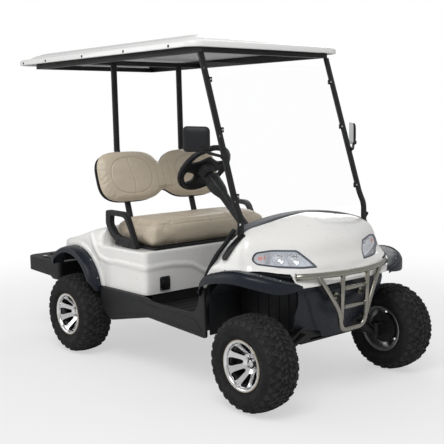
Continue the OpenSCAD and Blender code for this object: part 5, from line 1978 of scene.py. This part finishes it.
DASH_TOP = mm((-160.5, 940), (-165, 975), (-176, 982.5), (-200, 982.8), (-238, 981.5), (-262, 976.5),
    (-284, 964), (-299, 910), (-329, 800), (-383, 720), (-383, 691.5), (-372.5, 691.5), (-372.5, 715),
    (-319, 790), (-286, 890), (-240, 938))


def make_dash():
    """Dash behind the cowl: its top falls towards the sides as the hood does."""
    rings = []
    profile = rounded(DASH_TOP, 0.008, 2)
    for k in range(49):
        y = 0.488 * (k / 24 - 1)
        a = abs(y)
        reach = float(np.interp(a, [0.0, 0.345, 0.4, 0.45, 0.489], [-0.384, -0.384, -0.3, -0.245, -0.2]))
        drop = 0.3 * a * a
        ring = []
        for p in profile:
            x = max(p.x, reach)
            low = float(np.clip((p.y - 0.72) / 0.22, 0, 1))
            ring.append(at(x, y, p.y - drop * low))
        rings.append(ring)
    dash = make("dashboard", loft(rings))
    tidy(dash, 0.0002)
    _, _, out = wheel_frame()
    cut(dash, knob([(0.0245, -0.7), (0.0245, -0.02)], on_wheel(0, 0, 0), out, 32))
    finish(dash, "dash", ["dashboard"], 40)

# ---------- the stage ----------

def make_stage():
    """Pale floor, white surroundings, soft lamps and the camera."""
    scene = bpy.context.scene
    scene.view_settings.view_transform = "Standard"

    reach = 30
    corners = [(-reach, -reach, 0), (reach, -reach, 0), (reach, reach, 0), (-reach, reach, 0)]
    floor = meshed("floor", corners, [], [(0, 1, 2, 3)])
    floor.data.materials.append(floor_material())

    scene.world = bpy.data.worlds.new("Surroundings")
    scene.world.use_nodes = True
    tree = scene.world.node_tree
    strength = tree.nodes.new("ShaderNodeMapRange")
    strength.inputs["To Min"].default_value = 0.52
    strength.inputs["To Max"].default_value = 1.0
    tree.links.new(seen_directly(tree), strength.inputs["Value"])
    background = tree.nodes["Background"]
    background.inputs["Color"].default_value = (1, 1, 1, 1)
    tree.links.new(strength.outputs["Result"], background.inputs["Strength"])

    middle = Vector((0, 0, 0.9))
    for name, place, size, power in (("key", (2.6, -3.2, 5.4), 3.0, 165),
            ("fill", (-3.6, -4.2, 2.6), 3.0, 40), ("back", (-2.5, 4.2, 4.0), 3.0, 50)):
        lamp = bpy.data.lights.new(name, "AREA")
        lamp.size = size
        lamp.energy = power
        holder = placed(name, lamp)
        holder.location = place
        holder.rotation_euler = (middle - Vector(place)).to_track_quat("-Z", "Y").to_euler()

    make_camera(scene)


def seen_directly(tree):
    """1 on rays from the camera and through glass, else 0."""
    path = tree.nodes.new("ShaderNodeLightPath")
    most = tree.nodes.new("ShaderNodeMath")
    most.operation = "MAXIMUM"
    tree.links.new(path.outputs["Is Camera Ray"], most.inputs[0])
    tree.links.new(path.outputs["Is Transmission Ray"], most.inputs[1])
    return most.outputs["Value"]


def floor_material():
    """A pale floor: nearly white where it is lit, with the cart's shadow, and pure white far away."""
    material = bpy.data.materials.new("Pale floor")
    material.use_nodes = True
    tree = material.node_tree
    tree.nodes.clear()
    plain = tree.nodes.new("ShaderNodeBsdfDiffuse")
    plain.inputs["Color"].default_value = (0.8, 0.8, 0.8, 1)
    white = tree.nodes.new("ShaderNodeEmission")
    place = tree.nodes.new("ShaderNodeTexCoord")
    away = tree.nodes.new("ShaderNodeVectorMath")
    away.operation = "LENGTH"
    tree.links.new(place.outputs["Object"], away.inputs[0])
    fade = tree.nodes.new("ShaderNodeMapRange")
    fade.interpolation_type = "SMOOTHSTEP"
    for name, value in (("From Min", 1.6), ("From Max", 4.6), ("To Min", 0.55), ("To Max", 1.0)):
        fade.inputs[name].default_value = value
    tree.links.new(away.outputs["Value"], fade.inputs["Value"])
    share = tree.nodes.new("ShaderNodeMath")
    share.operation = "MULTIPLY"
    tree.links.new(seen_directly(tree), share.inputs[0])
    tree.links.new(fade.outputs["Result"], share.inputs[1])
    blend = tree.nodes.new("ShaderNodeMixShader")
    tree.links.new(share.outputs["Value"], blend.inputs["Fac"])
    tree.links.new(plain.outputs["BSDF"], blend.inputs[1])
    tree.links.new(white.outputs["Emission"], blend.inputs[2])
    out = tree.nodes.new("ShaderNodeOutputMaterial")
    tree.links.new(blend.outputs["Shader"], out.inputs["Surface"])
    return material


CAMERA_PLACE = (3.115, -3.483, 1.518)  # from the front axle
CAMERA_YAW = 138.906
CAMERA_PITCH = -7.04
CAMERA_ROLL = -0.905
CAMERA_LENS = 68.907


def make_camera(scene):
    yaw, pitch, roll = (radians(a) for a in (CAMERA_YAW, CAMERA_PITCH, CAMERA_ROLL))
    ahead = Vector((cos(pitch) * cos(yaw), cos(pitch) * sin(yaw), sin(pitch)))
    level = ahead.cross(UP).normalized()
    up = level.cross(ahead)
    right = level * cos(roll) + up * sin(roll)
    top = up * cos(roll) - level * sin(roll)
    data = bpy.data.cameras.new("camera")
    data.sensor_width = 36
    data.lens = CAMERA_LENS
    holder = placed("camera", data)
    turn = Matrix((right, top, -ahead)).transposed()
    holder.matrix_world = Matrix.Translation(at(*CAMERA_PLACE)) @ turn.to_4x4()
    scene.camera = holder


# ---------- the add-on ----------

class CART_OT_wheels(bpy.types.Operator):
    """Builds the four tyres with their tread, and the rims"""
    bl_idname = "cart.wheels"
    bl_label = "Wheels"

    def execute(self, context):
        make_tyres()
        make_rims()
        return {"FINISHED"}


class CART_OT_front_body(bpy.types.Operator):
    """Builds the painted cowl with its edge seals"""
    bl_idname = "cart.front_body"
    bl_label = "Front body"

    def execute(self, context):
        make_cowl()
        return {"FINISHED"}


class CART_OT_headlights(bpy.types.Operator):
    """Builds the headlights: lens, frame, reflectors and bulbs"""
    bl_idname = "cart.headlights"
    bl_label = "Headlights"

    def execute(self, context):
        make_headlights()
        return {"FINISHED"}


class CART_OT_apron(bpy.types.Operator):
    """Builds the moulded apron, the wheel wells and the front flares"""
    bl_idname = "cart.apron"
    bl_label = "Apron and front flares"

    def execute(self, context):
        make_apron()
        make_front_flares()
        return {"FINISHED"}


class CART_OT_rear_body(bpy.types.Operator):
    """Builds the painted rear body, the tail lights and the charger socket"""
    bl_idname = "cart.rear_body"
    bl_label = "Rear body"

    def execute(self, context):
        make_rear_body()
        make_charger()
        return {"FINISHED"}


class CART_OT_side_trim(bpy.types.Operator):
    """Builds the rear flares and the sill panels"""
    bl_idname = "cart.side_trim"
    bl_label = "Rear flares and sills"

    def execute(self, context):
        make_rear_flares()
        make_rear_wells()
        make_sills()
        return {"FINISHED"}


class CART_OT_tray(bpy.types.Operator):
    """Builds the bag tray"""
    bl_idname = "cart.tray"
    bl_label = "Bag tray"

    def execute(self, context):
        make_tray()
        return {"FINISHED"}


class CART_OT_roof(bpy.types.Operator):
    """Builds the roof, finishes the posts and the windshield, and adds their hardware"""
    bl_idname = "cart.roof"
    bl_label = "Roof, posts and glass"

    def execute(self, context):
        make_roof()
        make_posts()
        return {"FINISHED"}


class CART_OT_mirrors(bpy.types.Operator):
    """Builds the two side mirrors"""
    bl_idname = "cart.mirrors"
    bl_label = "Mirrors"

    def execute(self, context):
        make_mirrors()
        return {"FINISHED"}


class CART_OT_backrest(bpy.types.Operator):
    """Builds the two-lobed backrest with its shell, channels and stitches"""
    bl_idname = "cart.backrest"
    bl_label = "Backrest"

    def execute(self, context):
        make_backrest()
        return {"FINISHED"}


class CART_OT_seat(bpy.types.Operator):
    """Builds the bench cushion on its pan, and the armrests"""
    bl_idname = "cart.seat"
    bl_label = "Seat and armrests"

    def execute(self, context):
        make_cushion()
        make_seat_pan()
        make_armrests()
        return {"FINISHED"}


class CART_OT_steering(bpy.types.Operator):
    """Builds the steering wheel and its column"""
    bl_idname = "cart.steering"
    bl_label = "Steering"

    def execute(self, context):
        make_steering_wheel()
        make_column()
        return {"FINISHED"}


class CART_OT_guard(bpy.types.Operator):
    """Builds the tubular brush guard"""
    bl_idname = "cart.guard"
    bl_label = "Brush guard"

    def execute(self, context):
        make_guard()
        return {"FINISHED"}


class CART_OT_running_gear(bpy.types.Operator):
    """Finishes the chassis, the floor, the dash and the running gear"""
    bl_idname = "cart.running_gear"
    bl_label = "Chassis, floor and running gear"

    def execute(self, context):
        make_running_gear()
        return {"FINISHED"}


class CART_OT_stage(bpy.types.Operator):
    """Sets the floor, the lamps, the white surroundings and the camera"""
    bl_idname = "cart.stage"
    bl_label = "Stage"

    def execute(self, context):
        make_stage()
        return {"FINISHED"}


OPERATORS = (CART_OT_wheels, CART_OT_front_body, CART_OT_headlights, CART_OT_apron, CART_OT_rear_body,
    CART_OT_side_trim, CART_OT_tray, CART_OT_roof, CART_OT_mirrors, CART_OT_backrest, CART_OT_seat,
    CART_OT_steering, CART_OT_guard, CART_OT_running_gear, CART_OT_stage,)


class CART_PT_panel(bpy.types.Panel):
    """Lists the cart's pieces and settings in the sidebar"""
    bl_idname = "CART_PT_panel"
    bl_label = "Golf cart"
    bl_space_type = "VIEW_3D"
    bl_region_type = "UI"
    bl_category = "Golf cart"

    def draw(self, context):
        column = self.layout.column(align=True)
        for operator in OPERATORS:
            column.operator(operator.bl_idname)
        for settings in (context.scene.cart_sizes, context.scene.cart_colours):
            for name in settings.__annotations__:
                self.layout.prop(settings, name)


CLASSES = (CartSizes, CartColours) + OPERATORS + (CART_PT_panel,)


def register():
    for kind in CLASSES:
        bpy.utils.register_class(kind)
    bpy.types.Scene.cart_sizes = bpy.props.PointerProperty(type=CartSizes, description="Sizes of the finish")
    bpy.types.Scene.cart_colours = bpy.props.PointerProperty(type=CartColours,
        description="Colours of the finish")


def unregister():
    del bpy.types.Scene.cart_colours
    del bpy.types.Scene.cart_sizes
    for kind in reversed(CLASSES):
        bpy.utils.unregister_class(kind)


def main():
    register()
    make_materials()
    bpy.ops.cart.wheels()
    bpy.ops.cart.front_body()
    bpy.ops.cart.headlights()
    bpy.ops.cart.apron()
    bpy.ops.cart.rear_body()
    bpy.ops.cart.side_trim()
    bpy.ops.cart.tray()
    bpy.ops.cart.roof()
    bpy.ops.cart.mirrors()
    bpy.ops.cart.backrest()
    bpy.ops.cart.seat()
    bpy.ops.cart.steering()
    bpy.ops.cart.guard()
    bpy.ops.cart.running_gear()
    bpy.ops.cart.stage()
    bpy.context.view_layer.update()


if __name__ == "__main__":
    main()
